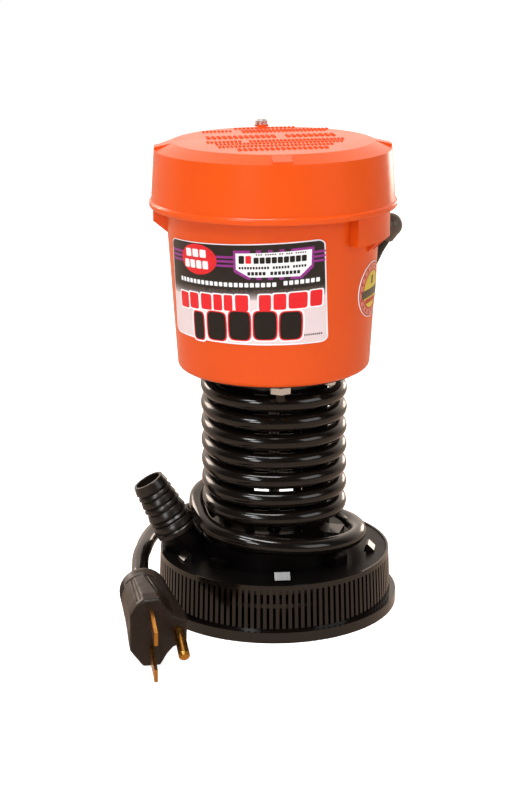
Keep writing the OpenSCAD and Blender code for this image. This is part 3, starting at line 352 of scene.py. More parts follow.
# Cast aluminium rotor with its steel laminations
CAST = metal("die_cast_aluminium", "#A7A9AB", "#8E9194", 0.45, 1.5)
# Silicon steel sheets, drawn 1 mm apart so that the joints show
LAMINATION = banded("silicon_steel_stack", "#7B7D80", "#3B3B3D", pitch_mm=1.0, line_part=0.25,
                    line_depth_mm=0.05, rough=0.45, metallic=0.9)
# Enamelled magnet wire
WIRE = metal("enamelled_copper", "#B4652A", "#8D4A1C", 0.32, 0.7)

# Paper and inks
PAPER = printed("label_paper", "#FBFAFA", "#F5F2F2")
PINK = printed("label_pale_ink", "#EDDADA", "#E6D0D0")
RED_INK = printed("label_red_ink", "#EE1C23", "#E4171F")
BLACK_INK = printed("label_black_ink", "#120E0C", "#1E1815")
WHITE_INK = printed("label_white_ink", "#FFFFFF", "#F7F5F5")
PURPLE_INK = printed("label_purple_ink", "#8E2484", "#A03592")
GREY_INK = printed("label_grey_ink", "#4A3D36", "#5E4E45")
YELLOW_INK = printed("badge_yellow_ink", "#E2C838", "#D9B62C")
OLIVE_INK = printed("badge_olive_ink", "#443E2C", "#57503A")
BROWN_INK = printed("badge_red_ink", "#B8201C", "#C23020")
BADGE_INK = printed("badge_salmon_ink", "#E27C62", "#DA8C74")

# The dark field's slanting lower edge: its height at the middle, its rise for each millimetre to
# the right, how deep it fades, and the power that makes the fade look even
FADE_Z, FADE_RISE, FADE_DEPTH, FADE_POWER = 153.4, 0.055, 6.0, 2.2


def fading_ink():
    """The label's dark field: black that runs out into the pale field below along its edge."""
    material, tree, shader, place = start_finish("label_fading_ink")
    axes = add(tree, "ShaderNodeSeparateXYZ", {"Vector": place})
    edge = maths(tree, "MULTIPLY_ADD", axes.outputs["X"], FADE_RISE, FADE_Z * MM)
    above = maths(tree, "SUBTRACT", axes.outputs["Z"], edge)
    depth = maths(tree, "MULTIPLY", above, per_metre(FADE_DEPTH), use_clamp=True)
    pale = maths(tree, "POWER", maths(tree, "SUBTRACT", 1.0, depth), FADE_POWER)
    dark = mix(tree, noise(tree, place, CLOUD_MM, detail=3.0), "#0A0807", "#2C2420")
    give(tree, shader, {"Base Color": mix(tree, pale, dark, "#EAD6D6"), "Roughness": FILM_ROUGH})
    return material


FADING_INK = fading_ink()

# ------------------------------------------------------------------ cord

# The same route as the solids follow: the column, the cord and how it is wound
COLUMN_R, CORD_D, CORD_PITCH, WIND_GAP = 26.0, 7.6, 9.0, 0.35
CAN_RIM_Z, FLANGE_Z = 190.5, 113.0
# The boot: its direction, how far below the rim and out from the axis it bends, the leg that the
# cord leaves it by, and that leg's tilt and swing
GLAND_TURN, GLAND_DROP, GLAND_REACH, GLAND_LEG = 103.0, 16.2, 56.0, 6.0
GLAND_TILT, GLAND_SWING = 34.0, 126.0
# The coil's first and last turn in degrees, its drop from the flange, and how it differs from a
# plain helix: squareness, lift at the right and at the back, and the run in up to ENTER_TO
COIL_FROM, COIL_TO, COIL_DROP = -158.0, 2280.0, 10.0
SQUARE_R, LEVEL_Z, NOD_Z, ENTER, ENTER_TO = 0.4, 1.2, 0.8, 0.0056, -118.0
# Places before and after the coil by direction in degrees, radius and height
LEAD = [
    [114, 50.8, 156.5], [119.5, 50.4, 150.5], [126, 50.2, 144], [134, 50, 137.5],
    [143, 49.8, 130.5], [152, 49.9, 123.5], [161, 50.9, 117], [171, 52.4, 111.8],
]
TAIL = [
    [166, 37.3, 48.6], [184, 38.3, 49], [202, 38.6, 49], [221, 38.3, 48.6], [239, 37.8, 48],
    [252, 37, 47.1], [264, 35.9, 45.6], [277, 35.3, 44.2], [294, 36, 42.6], [312, 36.7, 41.2],
    [330, 37, 40.4], [348, 37, 39], [366, 37.2, 37.8], [384, 37.6, 36.6], [402, 38.2, 35.4],
    [420, 38.8, 34.4], [438, 39.2, 33.4], [456, 39.2, 32.6], [474, 38.8, 31.8], [492, 38.4, 31.2],
    [508, 38.8, 30.6], [524, 40.8, 30], [539, 44, 29.8], [554, 47.8, 29.8], [568, 51.2, 29.8],
    [582, 54, 30], [596, 56.6, 29.2], [610, 58, 28.2], [623, 59.2, 28], [636, 61.6, 28],
    [645.5, 65.2, 27.4],
]
# Points along the coil, steps on each span of a curve, sides of the cord, and where its first
# ring starts from
WOUND_POINTS, SPAN_STEPS, CORD_SIDES = 651, 6, 24
FIRST_NORMAL = (1, 0.2, 0)
# Where the plug's face lies, how the plug is tilted and swung, its length, and the cord's x in it
PLUG_AT = np.array([-59.0, -81.1, 17.2])
PLUG_TILT, PLUG_SWING = 10.5, 5.6
PLUG_L, PLUG_CORD_X = 40.0, 0.3


def on_plug(points):
    """Points of the plug's own frame, tilted about X and swung about Z, where the plug lies."""
    return PLUG_AT + turned(turned(points, PLUG_TILT, 0), PLUG_SWING, 2)


def coil_at(t):
    """Centre of the wound cord at t degrees: one pitch down a turn, a slightly squared circle,
    level across the front, a little higher behind, and coming in from outside at the start."""
    a = np.radians(t)
    r = COLUMN_R + CORD_D / 2 + WIND_GAP - SQUARE_R * np.cos(4 * a)
    r = r + ENTER * np.maximum(0, ENTER_TO - t) ** 2
    z = FLANGE_Z - COIL_DROP - CORD_PITCH * t / 360
    z = z + LEVEL_Z * np.sin(a) + NOD_Z * (1 - np.cos(a))
    return at(t, r, z)


def coil_way(t):
    """Direction of the wound cord at t degrees, over the degree that has t at its middle."""
    return unit(coil_at(t + 0.5) - coil_at(t - 0.5))


def smooth_line(points):
    """Catmull-Rom curve: on each span b to c,
    (2b + (c - a) t + (2a - 5b + 4c - d) t^2 + (3b - a - 3c + d) t^3) / 2."""
    p = np.vstack([2 * points[0] - points[1], points, 2 * points[-1] - points[-2]])
    a, b, c, d = p[:-3, None], p[1:-2, None], p[2:-1, None], p[3:, None]
    t = (np.arange(SPAN_STEPS) / SPAN_STEPS)[None, :, None]
    square, cube = 2 * a - 5 * b + 4 * c - d, 3 * b - a - 3 * c + d
    spans = (2 * b + (c - a) * t + square * t ** 2 + cube * t ** 3) / 2
    return np.vstack([spans.reshape(-1, 3), points[-1:]])


def places(table):
    """Points from rows of direction, radius and height."""
    return at(*np.array(table, dtype=float).T)


def cord_line():
    """The cord's centreline from the boot, round the column, and on to the plug."""
    lean, swing = math.radians(GLAND_TILT), GLAND_TURN - 90 + GLAND_SWING
    out = turned(np.array([math.sin(lean), 0, -math.cos(lean)]), swing, 2)
    start = at(GLAND_TURN, GLAND_REACH, CAN_RIM_Z - GLAND_DROP) + GLAND_LEG * out
    first, last = coil_way(COIL_FROM), coil_way(COIL_TO)
    coil_start, coil_end = coil_at(COIL_FROM) - CORD_D * first, coil_at(COIL_TO) + CORD_D * last
    plug_end = on_plug(np.array([PLUG_CORD_X, PLUG_L, 0.0]))
    plug_back = on_plug(np.array([PLUG_CORD_X, PLUG_L + CORD_D, 0.0]))
    lead = np.vstack([start + CORD_D * out, places(LEAD), coil_start - CORD_D * first])
    tail = np.vstack([coil_end + CORD_D * last, places(TAIL), plug_back])
    wound = coil_at(np.linspace(COIL_FROM, COIL_TO, WOUND_POINTS))
    return np.vstack([start, smooth_line(lead), coil_start, wound, coil_end, smooth_line(tail),
                      plug_end])


def carried(directions, first):
    """A normal carried along a line without twist: each is the last one less its part along
    the line."""
    normals = [unit(first - first.dot(directions[0]) * directions[0])]
    for d in directions[1:]:
        normals.append(unit(normals[-1] - normals[-1].dot(d) * d))
    return np.array(normals)


def tube(line, radius, sides, first):
    """Rings round each point of a line: centre + radius (cos a n + sin a m), with n and m square
    to the line."""
    directions = unit(np.gradient(line, axis=0))
    n = carried(directions, np.array(first, dtype=float))
    m = np.cross(directions, n)
    a = around(sides)[None, :, None]
    return line[:, None] + radius * (np.cos(a) * n[:, None] + np.sin(a) * m[:, None])


route = cord_line()
cord = make("mains_cord", [skin(tube(route, CORD_D / 2, CORD_SIDES, FIRST_NORMAL))], JACKET)
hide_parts("cord_lead", "cord_coil", "cord_tail")

# ------------------------------------------------------------------ plug

# The face's outline by x and z, which holds as far as FACE_TO and has become a circle by CIRCLE_AT
PLUG_MID_X = 4.35
PLUG_FACE = np.array([
    [15.5, -5.4], [15.5, 5.4], [9.6, 8.1], [6.9, 11.4], [3.9, 16.9], [-3.2, 16.6], [-6.2, 14.0],
    [-9.1, 8.6], [-9.1, -8.6], [-3.5, -16.9], [3.9, -16.9], [6.9, -11.4], [9.6, -8.1],
])
FACE_TO, CIRCLE_AT, CIRCLE_R = 6, 33, 10.6
# The rounding of the cord's end and of the face's edge
END_FROM, END_FALL = 34, 4.4
LIP_TO, LIP_FALL = 1.4, 0.8
# Carving: how deep, at which turns in degrees and at which lengths, each given as its middle,
# its half width and how far it takes to run out
GRIP_DEPTH, GRIP_LENGTH = 0.6, (16, 12, 1.5)
GRIP_TURNS = [(turn, 2.0, 2.0) for turn in (91, 122, 238, 269)]
CUT_DEPTH, CUT_TURN = 0.8, (168, 16, 5)
CUT_LENGTHS = [(length, 0.5, 0.5) for length in (28.6, 31.4, 34.2)]
STEP_DEPTH, STEP_TURN, STEP_LENGTH = 0.4, (105, 34, 6), (29.4, 0.3, 0.4)
# Lengths of the sections, closer together at both rounded ends, and the points in each
PLUG_LENGTHS = np.concatenate([
    [0, 0.12, 0.35, 0.8, LIP_TO], np.linspace(2, 36, 114), np.linspace(36.3, PLUG_L, 16)])
PLUG_SIDES = 240


def plug_outline(angles):
    """Distance from the plug's middle to its face's edge at each angle: for the side from p to q,
    (p x q) / (u x (q - p)) with u the direction, eased over its neighbours to round the corners."""
    p = PLUG_FACE - [PLUG_MID_X, 0]
    q = np.roll(p, -1, axis=0)
    start = np.arctan2(p[:, 1], p[:, 0])
    side = np.argmin((angles[:, None] - start) % (2 * math.pi), axis=1)
    a, b = p[side], q[side] - p[side]
    cross = a[:, 0] * b[:, 1] - a[:, 1] * b[:, 0]
    r = cross / (np.cos(angles) * b[:, 1] - np.sin(angles) * b[:, 0])
    return (np.roll(r, 1) + 2 * r + np.roll(r, -1)) / 4


def within(x, middle, half, soft):
    """1 within `half` of the middle, falling to 0 over `soft`."""
    t = np.clip((half + soft - np.abs(x - middle)) / soft, 0, 1)
    return t * t * (3 - 2 * t)


def plug_surface():
    """Sections from the flat face to the round cord end: the outline runs evenly from the face's
    shape to a circle, then rounds over to the cord, less the carving."""
    angles = around(PLUG_SIDES)
    y, turn = PLUG_LENGTHS[:, None], np.degrees(angles)[None, :]
    part = np.clip((y - FACE_TO) / (CIRCLE_AT - FACE_TO), 0, 1)
    past = np.clip((y - END_FROM) / (PLUG_L - END_FROM), 0, 1)
    r = plug_outline(angles)[None, :] * (1 - part) + CIRCLE_R * part
    r = r - END_FALL * (1 - np.sqrt(1 - past ** 2)) - LIP_FALL * np.clip(1 - y / LIP_TO, 0, 1) ** 2
    for groove in GRIP_TURNS:
        r = r - GRIP_DEPTH * within(turn, *groove) * within(y, *GRIP_LENGTH)
    for cut in CUT_LENGTHS:
        r = r - CUT_DEPTH * within(turn, *CUT_TURN) * within(y, *cut)
    r = r - STEP_DEPTH * within(y, *STEP_LENGTH) * within(turn, *STEP_TURN)
    x = PLUG_MID_X + (PLUG_CORD_X - PLUG_MID_X) * part + r * np.cos(angles)
    return skin(on_plug(points_of(x, y, r * np.sin(angles)))[::-1])


plug = make("plug_shell", [plug_surface()], PLUG, crease=50)
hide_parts("plug_body")

# ------------------------------------------------------------------ hose tail

# Where the nozzle stands on its boss, and its lean to the left; heights below are along it
NOZZLE_X, NOZZLE_Z, NOZZLE_LEAN = -45.3, 34.4, 28.5
NOZZLE_L, SPIGOT_R, SPIGOT_L, BORE_R, SEAT_R, SEAT_H = 28.0, 7.55, 7.5, 6.0, 9.9, 2.2
TIP_R, CONE_SLOPE = 7.6, 0.0907
# Each band's lower and upper height, how far it flares at the first and draws in at the second,
# and how deep the groove beside each lies
BARBS = [(3.4, 6.4), (7.5, 8.7), (9.8, 12.9), (14.5, 16.1), (17.1, 19.9), (21.0, 22.65),
         (23.8, 28.0)]
BARB_FLARE, GROOVE_LOW, GROOVE_HIGH = 0.25, 1.2, 0.9
# Rounding of the seat and the bands' lower edges, and of the edges toward the tip
BEVEL, FINE_BEVEL = 0.2, 0.15
NOZZLE_SIDES = 96


def hose_tail():
    """The nozzle as a turned shape: a cone with flared bands that stand above grooves, about one
    straight bore."""
    outer = [(SPIGOT_R, -SPIGOT_L), (SPIGOT_R, 0), (SEAT_R - BEVEL, 0), (SEAT_R, BEVEL),
             (SEAT_R, SEAT_H - BEVEL), (SEAT_R - BEVEL, SEAT_H)]
    for low, high in BARBS:
        low_r = TIP_R + BARB_FLARE + CONE_SLOPE * (NOZZLE_L - low)
        high_r = TIP_R - BARB_FLARE + CONE_SLOPE * (NOZZLE_L - high)
        outer += [(low_r - GROOVE_LOW, low), (low_r - FINE_BEVEL, low), (low_r, low + BEVEL),
                  (high_r, high - FINE_BEVEL), (high_r - FINE_BEVEL, high)]
        if high < NOZZLE_L:
            outer.append((high_r - GROOVE_HIGH, high))
    bore = [(BORE_R + FINE_BEVEL, NOZZLE_L), (BORE_R, NOZZLE_L - FINE_BEVEL), (BORE_R, -SPIGOT_L)]
    r, z = np.array(outer + bore).T
    a = around(NOZZLE_SIDES)[:, None]
    rings = turned(points_of(r * np.cos(a), r * np.sin(a), z), -NOZZLE_LEAN, 1)
    return hoop(rings + [NOZZLE_X, 0, NOZZLE_Z])


tail_piece = make("nozzle_shell", [hose_tail()], LIT_BARB, crease=30)
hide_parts("outlet_nozzle")

# ------------------------------------------------------------------ patches of print

# The can's wall, how far the label's face stands proud of it, how deep each patch is, and the
# label's middle, half its width, its corners, and its edges' heights at its left and right
CAN_LOW_R, CAN_FLARE, CAN_FLARE_Z = 43.7, 4.5 / 74.2, 116.3
LABEL_FACE, PATCH_DEPTH = 0.28, 0.06
LABEL_TURN, LABEL_HALF_W, LABEL_CORNER = -24.5, 35.3, 2.5
LABEL_LOW, LABEL_LOW_RIGHT, LABEL_HIGH, LABEL_HIGH_RIGHT = 133.0, 133.7, 175.9, 179.5
# The print's rows rise this much for each degree to the right at the label's foot, and this much
# more at the given height above it
SLANT, SLANT_MORE, SLANT_OVER = 0.007, 0.036, 44.5
# A block's column spacing in degrees, its fewest columns, and how its ends are cut short
BLOCK_STEP, BLOCK_COLUMNS, BLOCK_SHY = 0.9, 14, 0.03
# The power of a block's outline: 2 is an ellipse, and more is squarer
ROUND, SOFT, SQUARE = 2.0, 5.0, 8.0


def label_r(z):
    """Radius of the label's face at a height on the flared wall."""
    return CAN_LOW_R + CAN_FLARE * (z - CAN_FLARE_Z) + LABEL_FACE


def on_can(turn, z, proud):
    """Points at a direction and height, `proud` of the label's face on the flared wall."""
    return at(turn, label_r(z) + proud, z)


def strip(turn_low, low, turn_high, high, proud):
    """Closed thin patch between a lower and an upper edge, each given point by point, that lies on
    the flared wall from one pair of points to the next."""
    back = proud - PATCH_DEPTH
    rings = np.stack([on_can(turn_low, low, proud), on_can(turn_low, low, back),
                      on_can(turn_high, high, back), on_can(turn_high, high, proud)], axis=1)
    return skin(rings)


def slant(z):
    """Height gained for each degree to the right: the print's rows run up a little near the top."""
    return SLANT + (z - LABEL_LOW) / SLANT_OVER * SLANT_MORE


def block(left, right, low, high, proud, power=SQUARE):
    """A rounded block between two directions and two heights, sheared to the slant of the print's
    rows: half its height is h (1 - |x|^n)^(1/n) for x from -1 to 1."""
    count = max(BLOCK_COLUMNS, math.ceil((right - left) / BLOCK_STEP))
    x = bunched(count + 1, BLOCK_SHY)
    half = (high - low) / 2 * (1 - np.abs(x) ** power) ** (1 / power)
    shift = x * (right - left) / 2
    middle = (low + high) / 2 + shift * slant((low + high) / 2)
    turn = (left + right) / 2 + shift
    return strip(turn, middle - half, turn, middle + half, proud)


def across(x, low, high, proud):
    """A patch between two edges over flat widths x from the label's middle, seen square on."""
    turn_low = LABEL_TURN + np.degrees(np.arcsin(x / label_r(low)))
    turn_high = LABEL_TURN + np.degrees(np.arcsin(x / label_r(high)))
    return strip(turn_low, low, turn_high, high, proud)


def rounding(x, half, radius):
    """How far a rounded corner falls away at x: r - sqrt(r^2 - (|x| - half + r)^2)."""
    past = np.clip(np.abs(x) - half + radius, 0, radius)
    return radius - np.sqrt(radius ** 2 - past ** 2)


def evenly(left, right, count, gap_part, skip):
    """Marks of one width between two directions, less the ones skipped as spaces."""
    step = (right - left) / count
    return [(left + step * i, left + step * (i + 1 - gap_part))
            for i in range(count) if i not in skip]


def rows(table, proud):
    """Blocks side by side in rows. Each row gives its left and right, its number of blocks, the
    gap's share of a step, the blocks left out as spaces, and its low and high at the first block,
    from where it rises by its slant."""
    out = []
    for left, right, count, gap_part, skip, low, high in table:
        for a, b in evenly(left, right, count, gap_part, skip):
            up = slant(low) * ((a + b) / 2 - left)
            out.append(block(a, b, low + up, high + up, proud))
    return out


# ------------------------------------------------------------------ front label

# How far each layer of print stands proud of the label's face
PALE, DARK, STRIPE, HALO, FRAME, INNER, ON_OVAL, ON_PANEL, FIGURE = (
    0.02, 0.03, 0.05, 0.06, 0.07, 0.09, 0.1, 0.11, 0.12)
# The fields stop this far inside the label's sides, low edge and high edge; the pale one ends
# FADE_OVER above the start of the dark one, and both of those edges rise by FADE_UP to the right
SIDE_MARGIN, LOW_MARGIN, HIGH_MARGIN = 0.35, 0.6, 0.45
FADE_OVER, FADE_UP = 1.8, 3.2
FIELD_COLUMNS, FIELD_SHY = 91, 0.02
# Stripes: runs by left and right, and for each row its height on each run
STRIPE_RUNS, STRIPE_HALF = [(-71.5, -60.5), (-37, -24.5), (15.5, 23.6)], 0.5
STRIPE_ROWS = [(171.1, 171.7, 174.2), (169.1, 169.8, 172.2), (167.2, 167.9, 170.3)]
# Six-sided frame: direction and lower edge point by point, its upper edge's start and rise
FRAME_TURN = np.array([-25.5, -23.5, -21.0, -17.8, -12.0, -6.0, 0.0, 6.0, 10.4, 13.5, 17.0])
FRAME_LOW = np.array([165.6, 164.8, 163.8, 162.5, 162.6, 162.75, 162.85, 162.95, 163.0, 165.2,
                      167.8])
FRAME_HIGH, FRAME_UP = 174.9, 1.8
# The panel inside it: its middle, its share of the frame's width, and its lower and upper borders
PANEL_MIDDLE, PANEL_PART, PANEL_LOW, PANEL_HIGH = -4.3, 0.94, 1.05, 1.15
# The red oval's left, right, low and high
OVAL = (-61.1, -35.3, 162.45, 175.95)
# Letters by left, right and middle height, and figures with half their height as well
LETTERS = [
    (-65.5, -57.6, 149.6), (-56.4, -49.2, 150.3), (-47.3, -39.8, 150.9), (-38.6, -33, 151.3),
    (-32, -26.8, 151.6), (-25.3, -17.9, 152), (-12.2, -5.7, 152.5), (-4.5, 2.4, 153),
    (3.6, 14.0, 153.4), (15.4, 22.5, 153.9),
]
LETTER_HALF = 3.55
FIGURES = [
    (-53.6, -46.2, 139.4, 6.1), (-43.2, -31.4, 140.6, 6.2), (-29.3, -17.2, 141.8, 6.3),
    (-15.1, -2.9, 142.4, 6.2), (-0.9, 10.9, 142.3, 6.1),
]
# How far the blocks' edges and halos reach past them, to the sides in degrees and up and down
NO_EDGE, LETTER_HALO, FIGURE_EDGE, FIGURE_HALO = (0, 0), (0.9, 0.55), (0.8, 0.5), (1.7, 1.1)
# Two long rows by left, right, number of blocks, the gap's share and the blocks left out; the
# first bends up to the right with a step at its middle, and the second rises evenly
SERIES, SERIES_HALF = (-64, 21.5, 29, 0.28, (21,)), 0.95
SERIES_Z, SERIES_RISE, SERIES_BEND, SERIES_REACH, SERIES_STEP = 158.9, 0.018, 1.3, 84, 0.35
SPEC, SPEC_HALF = (-60, 20, 34, 0.3, (7, 13, 18, 24, 27)), 0.6
SPEC_Z, SPEC_RISE = 155.9, 0.034
# The other rows, each with its low and high at the first block as well
OVAL_ROWS = [(-57, -41, 3, 0.2, (), 169.8, 173.3), (-58.5, -40, 4, 0.2, (), 164.8, 168.4)]
PANEL_ROWS = [
    (-22.6, -19.6, 1, 0, (), 169.3, 172.8), (-14.6, 13.4, 9, 0.15, (), 169.6, 172.3),
    (-22.6, 13.2, 24, 0.3, (11, 18), 166.9, 168.0), (-18, 10.0, 14, 0.25, (5,), 164.4, 165.9),
]
RED_MARK = [(-18.9, -15.9, 1, 0, (), 169.5, 172.9)]
FINE_ROWS = [(-13.4, 13, 22, 0.35, (3, 9, 12, 16), 173.2, 173.8)]
TINY_ROWS = [(12.4, 23.6, 9, 0.4, (), 137.3, 138.1)]


def label_fields():
    """The dark field over the pale one, each with the label's rounded corners."""
    x = bunched(FIELD_COLUMNS, FIELD_SHY) * (LABEL_HALF_W - SIDE_MARGIN)
    part = (x + LABEL_HALF_W) / (2 * LABEL_HALF_W)
    low = LABEL_LOW + (LABEL_LOW_RIGHT - LABEL_LOW) * part
    high = LABEL_HIGH + (LABEL_HIGH_RIGHT - LABEL_HIGH) * part
    fall = rounding(x, LABEL_HALF_W - SIDE_MARGIN, LABEL_CORNER - SIDE_MARGIN)
    meet = FADE_Z + FADE_UP * part
    dark = across(x, meet - FADE_OVER, high - HIGH_MARGIN - fall, DARK)
    pale = across(x, low + LOW_MARGIN + fall, meet, PALE)
    return dark, pale


def striped_frame():
    """The stripes and the six-sided frame, and the panel that the frame goes round."""
    out = [block(a, b, z[i] - STRIPE_HALF, z[i] + STRIPE_HALF, STRIPE)
           for z in STRIPE_ROWS for i, (a, b) in enumerate(STRIPE_RUNS)]
    width = FRAME_TURN[-1] - FRAME_TURN[0]
    high = FRAME_HIGH + FRAME_UP * (FRAME_TURN - FRAME_TURN[0]) / width
    out.append(strip(FRAME_TURN, FRAME_LOW, FRAME_TURN, high, FRAME))
    turn = PANEL_MIDDLE + (FRAME_TURN - PANEL_MIDDLE) * PANEL_PART
    return out, strip(turn, FRAME_LOW + PANEL_LOW, turn, high - PANEL_HIGH, INNER)


def letters(grow_turn, grow_z, proud):
    """The row of large letters as blocks, each grown by so much all round."""
    half = LETTER_HALF + grow_z
    return [block(a - grow_turn, b + grow_turn, z - half, z + half, proud) for a, b, z in LETTERS]


def figures(grow_turn, grow_z, proud):
    """The row of large figures as blocks, each grown by so much all round."""
    return [block(a - grow_turn, b + grow_turn, z - h - grow_z, z + h + grow_z, proud, SOFT)
            for a, b, z, h in FIGURES]


def series_z(turn):
    """Middle height of the first long row."""
    along = turn - SERIES[0]
    step = SERIES_STEP if turn > 0 else 0
    return SERIES_Z + SERIES_RISE * along + SERIES_BEND * (along / SERIES_REACH) ** 2 + step


def spec_z(turn):
    """Middle height of the second long row."""
    return SPEC_Z + SPEC_RISE * (turn - SPEC[0])


def long_row(row, height, half):
    """Blocks of one row, each at the height that its left side has."""
    return [block(a, b, height(a) - half, height(a) + half, HALO) for a, b in evenly(*row)]


def label_print():
    """Each ink's patches. Words, numbers and marks are left as plain blocks of their size."""
    dark, pale = label_fields()
    purple, panel = striped_frame()
    white = letters(*LETTER_HALO, HALO) + figures(*FIGURE_HALO, HALO)
    white += long_row(SERIES, series_z, SERIES_HALF) + rows(OVAL_ROWS, ON_OVAL) + [panel]
    red = letters(*NO_EDGE, INNER) + figures(*FIGURE_EDGE, INNER) + rows(RED_MARK, ON_PANEL)
    red.append(block(*OVAL, FRAME, ROUND))
    black = figures(*NO_EDGE, FIGURE) + rows(PANEL_ROWS, ON_PANEL)
    grey = long_row(SPEC, spec_z, SPEC_HALF) + rows(TINY_ROWS, INNER) + rows(FINE_ROWS, ON_PANEL)
    return {
        "label_dark_field": (FADING_INK, [dark]),
        "label_pale_field": (PINK, [pale]),
        "label_white_print": (WHITE_INK, white),
        "label_red_print": (RED_INK, red),
        "label_black_print": (BLACK_INK, black),
        "label_purple_print": (PURPLE_INK, purple),
        "label_small_print": (GREY_INK, grey),
    }


for name, (ink, parts) in label_print().items():
    make(name, parts, ink)

# ------------------------------------------------------------------ round badge

# A degree of turn is BADGE_DEGREE mm wide on the wall there
BADGE_TURN, BADGE_Z, BADGE_DEGREE = 65.0, 152.0, 0.8
# Radius and layer of each disc, from the widest in
BADGE_RIM, BADGE_PALE, BADGE_RING, BADGE_DISC = (12.1, 0.02), (11.4, 0.04), (9.0, 0.06), (8.2, 0.08)
# Small blocks round the rim: their circle, half their width and height, the turn between them,
# and their layer
RIM_R, RIM_HALF_W, RIM_HALF_H, RIM_STEP, RIM_LAYER = 10.3, 0.8, 0.7, 20, 0.08
# Bars and a spot: left and right of the badge's middle, low, high, layer and outline
BADGE_RED = [(-8, 7, 146.3, 148.2, 0.12, SQUARE)]
BADGE_DARK = [(-12.5, 13.5, 148.9, 152.6, 0.11, SQUARE), (-1.5, 1.5, 154.4, 158.4, 0.11, 4.0)]


def badge_disc(radius, proud):
    """A round patch of the badge."""
    reach = radius / BADGE_DEGREE
    return block(BADGE_TURN - reach, BADGE_TURN + reach, BADGE_Z - radius, BADGE_Z + radius, proud,
                 ROUND)


def rim_marks():
    """Blocks round the badge's rim, where it has words."""
    out = []
    for a in np.radians(np.arange(0, 360, RIM_STEP)):
        turn, z = BADGE_TURN + RIM_R * math.cos(a) / BADGE_DEGREE, BADGE_Z + RIM_R * math.sin(a)
        out.append(block(turn - RIM_HALF_W, turn + RIM_HALF_W, z - RIM_HALF_H, z + RIM_HALF_H,
                         RIM_LAYER))
    return out


def badge_bars(table):
    """The bars of one ink."""
    return [block(BADGE_TURN + a, BADGE_TURN + b, *rest) for a, b, *rest in table]


def badge_print():
    """Rings, a disc and bars of the round badge, with plain blocks where it has words."""
    red = [badge_disc(*BADGE_RIM), badge_disc(*BADGE_RING)] + rim_marks() + badge_bars(BADGE_RED)
    return {
        "badge_red_print": (BROWN_INK, red),
        "badge_pale_print": (BADGE_INK, [badge_disc(*BADGE_PALE)]),
        "badge_yellow_print": (YELLOW_INK, [badge_disc(*BADGE_DISC)]),
        "badge_dark_print": (OLIVE_INK, badge_bars(BADGE_DARK)),
    }


for name, (ink, parts) in badge_print().items():
    make(name, parts, ink)

# ------------------------------------------------------------------ raised marks on the cap

# The bars' height over the cap's top, how far they reach into it and how much they draw in, their
# swing about the cap's middle, and the share of a step that a bar fills
CAP_TOP_Z = 215.6
MARK_RISE, MARK_SINK, MARK_DRAFT = 0.4, 0.05, 0.1
MARK_SWING, BAR_PART = 5.8, 0.62
# Each row's middle and depth, and its runs of (left, right, bars)
MARK_ROWS = [
    (39.5, 2.6, [(-11, 18, 15)]),
    (31.5, 2.6, [(-27, -13, 8), (-9, 32, 23)]),
    (27.5, 2.4, [(-9, 30, 22)]),
    (11.5, 6.6, [(-28, 4, 13), (8, 31, 9)]),
    (-2.6, 3.0, [(-30, -14, 9), (-11, 32, 25)]),
    (-9.6, 2.6, [(-27, 30, 33)]),
    (-17.5, 2.8, [(-27, 24, 29)]),
    (-27.2, 4.6, [(-20, 20, 17)]),
]


def upright(left, right, front, back):
    """A low bar on the cap's top, its upper edges drawn in a little."""
    corners = np.array([[left, front], [right, front], [right, back], [left, back]], dtype=float)
    inner = corners + MARK_DRAFT * np.array([[1, 1], [-1, 1], [-1, -1], [1, -1]])
    low = np.column_stack([corners, np.full(4, CAP_TOP_Z - MARK_SINK)])
    high = np.column_stack([inner, np.full(4, CAP_TOP_Z + MARK_RISE)])
    return skin(turned(np.stack([low, high]), MARK_SWING, 2))


def raised_marks():
    """Rows of plain bars where the cap has raised lines."""
    bars = []
    for middle, depth, runs in MARK_ROWS:
        for left, right, count in runs:
            step = (right - left) / count
            bars += [upright(left + step * i, left + step * (i + BAR_PART),
                             middle - depth / 2, middle + depth / 2) for i in range(count)]
    return bars


marks = make("cap_raised_marks", raised_marks(), MARK)

# ------------------------------------------------------------------ motor windings

POLE_TURNS = (45, 135, 225, 315)
# Where a winding's middle lies, and half its size up to the middle of the wire
WINDING_R, WINDING_Z, WINDING_HALF_W, WINDING_HALF_H = 22.5, 153.2, 8.6, 20.9
# Half the wire bundle's width and depth, its ripple, and how many strands show round it
BUNDLE_HALF_W, BUNDLE_HALF_D, RIPPLE, STRANDS = 2.0, 2.85, 0.09, 20
# How square the winding and its bundle are, 2 being round
WINDING_N, BUNDLE_N = 5, 4
WINDING_COLUMNS, BUNDLE_SIDES = 96, 60


def squared(wave, n):
    """A circle's cosine or sine moved out to the squarer curve |x|^n + |y|^n = 1."""
    return np.sign(wave) * np.abs(wave) ** (2 / n)


def winding(turn):
    """One pole's winding: a bundle of wire round a rounded rectangle, its section a squarish oval
    whose edge ripples with the outer strands."""
    a, b = around(WINDING_COLUMNS)[:, None], around(BUNDLE_SIDES)[None, :]
    ripple = RIPPLE * np.cos(STRANDS * b)
    side = squared(np.cos(b), BUNDLE_N) * (BUNDLE_HALF_W + ripple)
    deep = squared(np.sin(b), BUNDLE_N) * (BUNDLE_HALF_D + ripple)
    y = (WINDING_HALF_W + side) * squared(np.cos(a), WINDING_N)
    z = WINDING_Z + (WINDING_HALF_H + side) * squared(np.sin(a), WINDING_N)
    return hoop(turned(points_of(WINDING_R + deep, y, z), turn, 2))


windings = make("wound_poles", [winding(t) for t in POLE_TURNS], WIRE, crease=60)
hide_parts("stator_windings")

# ------------------------------------------------------------------ finishes of the solid parts

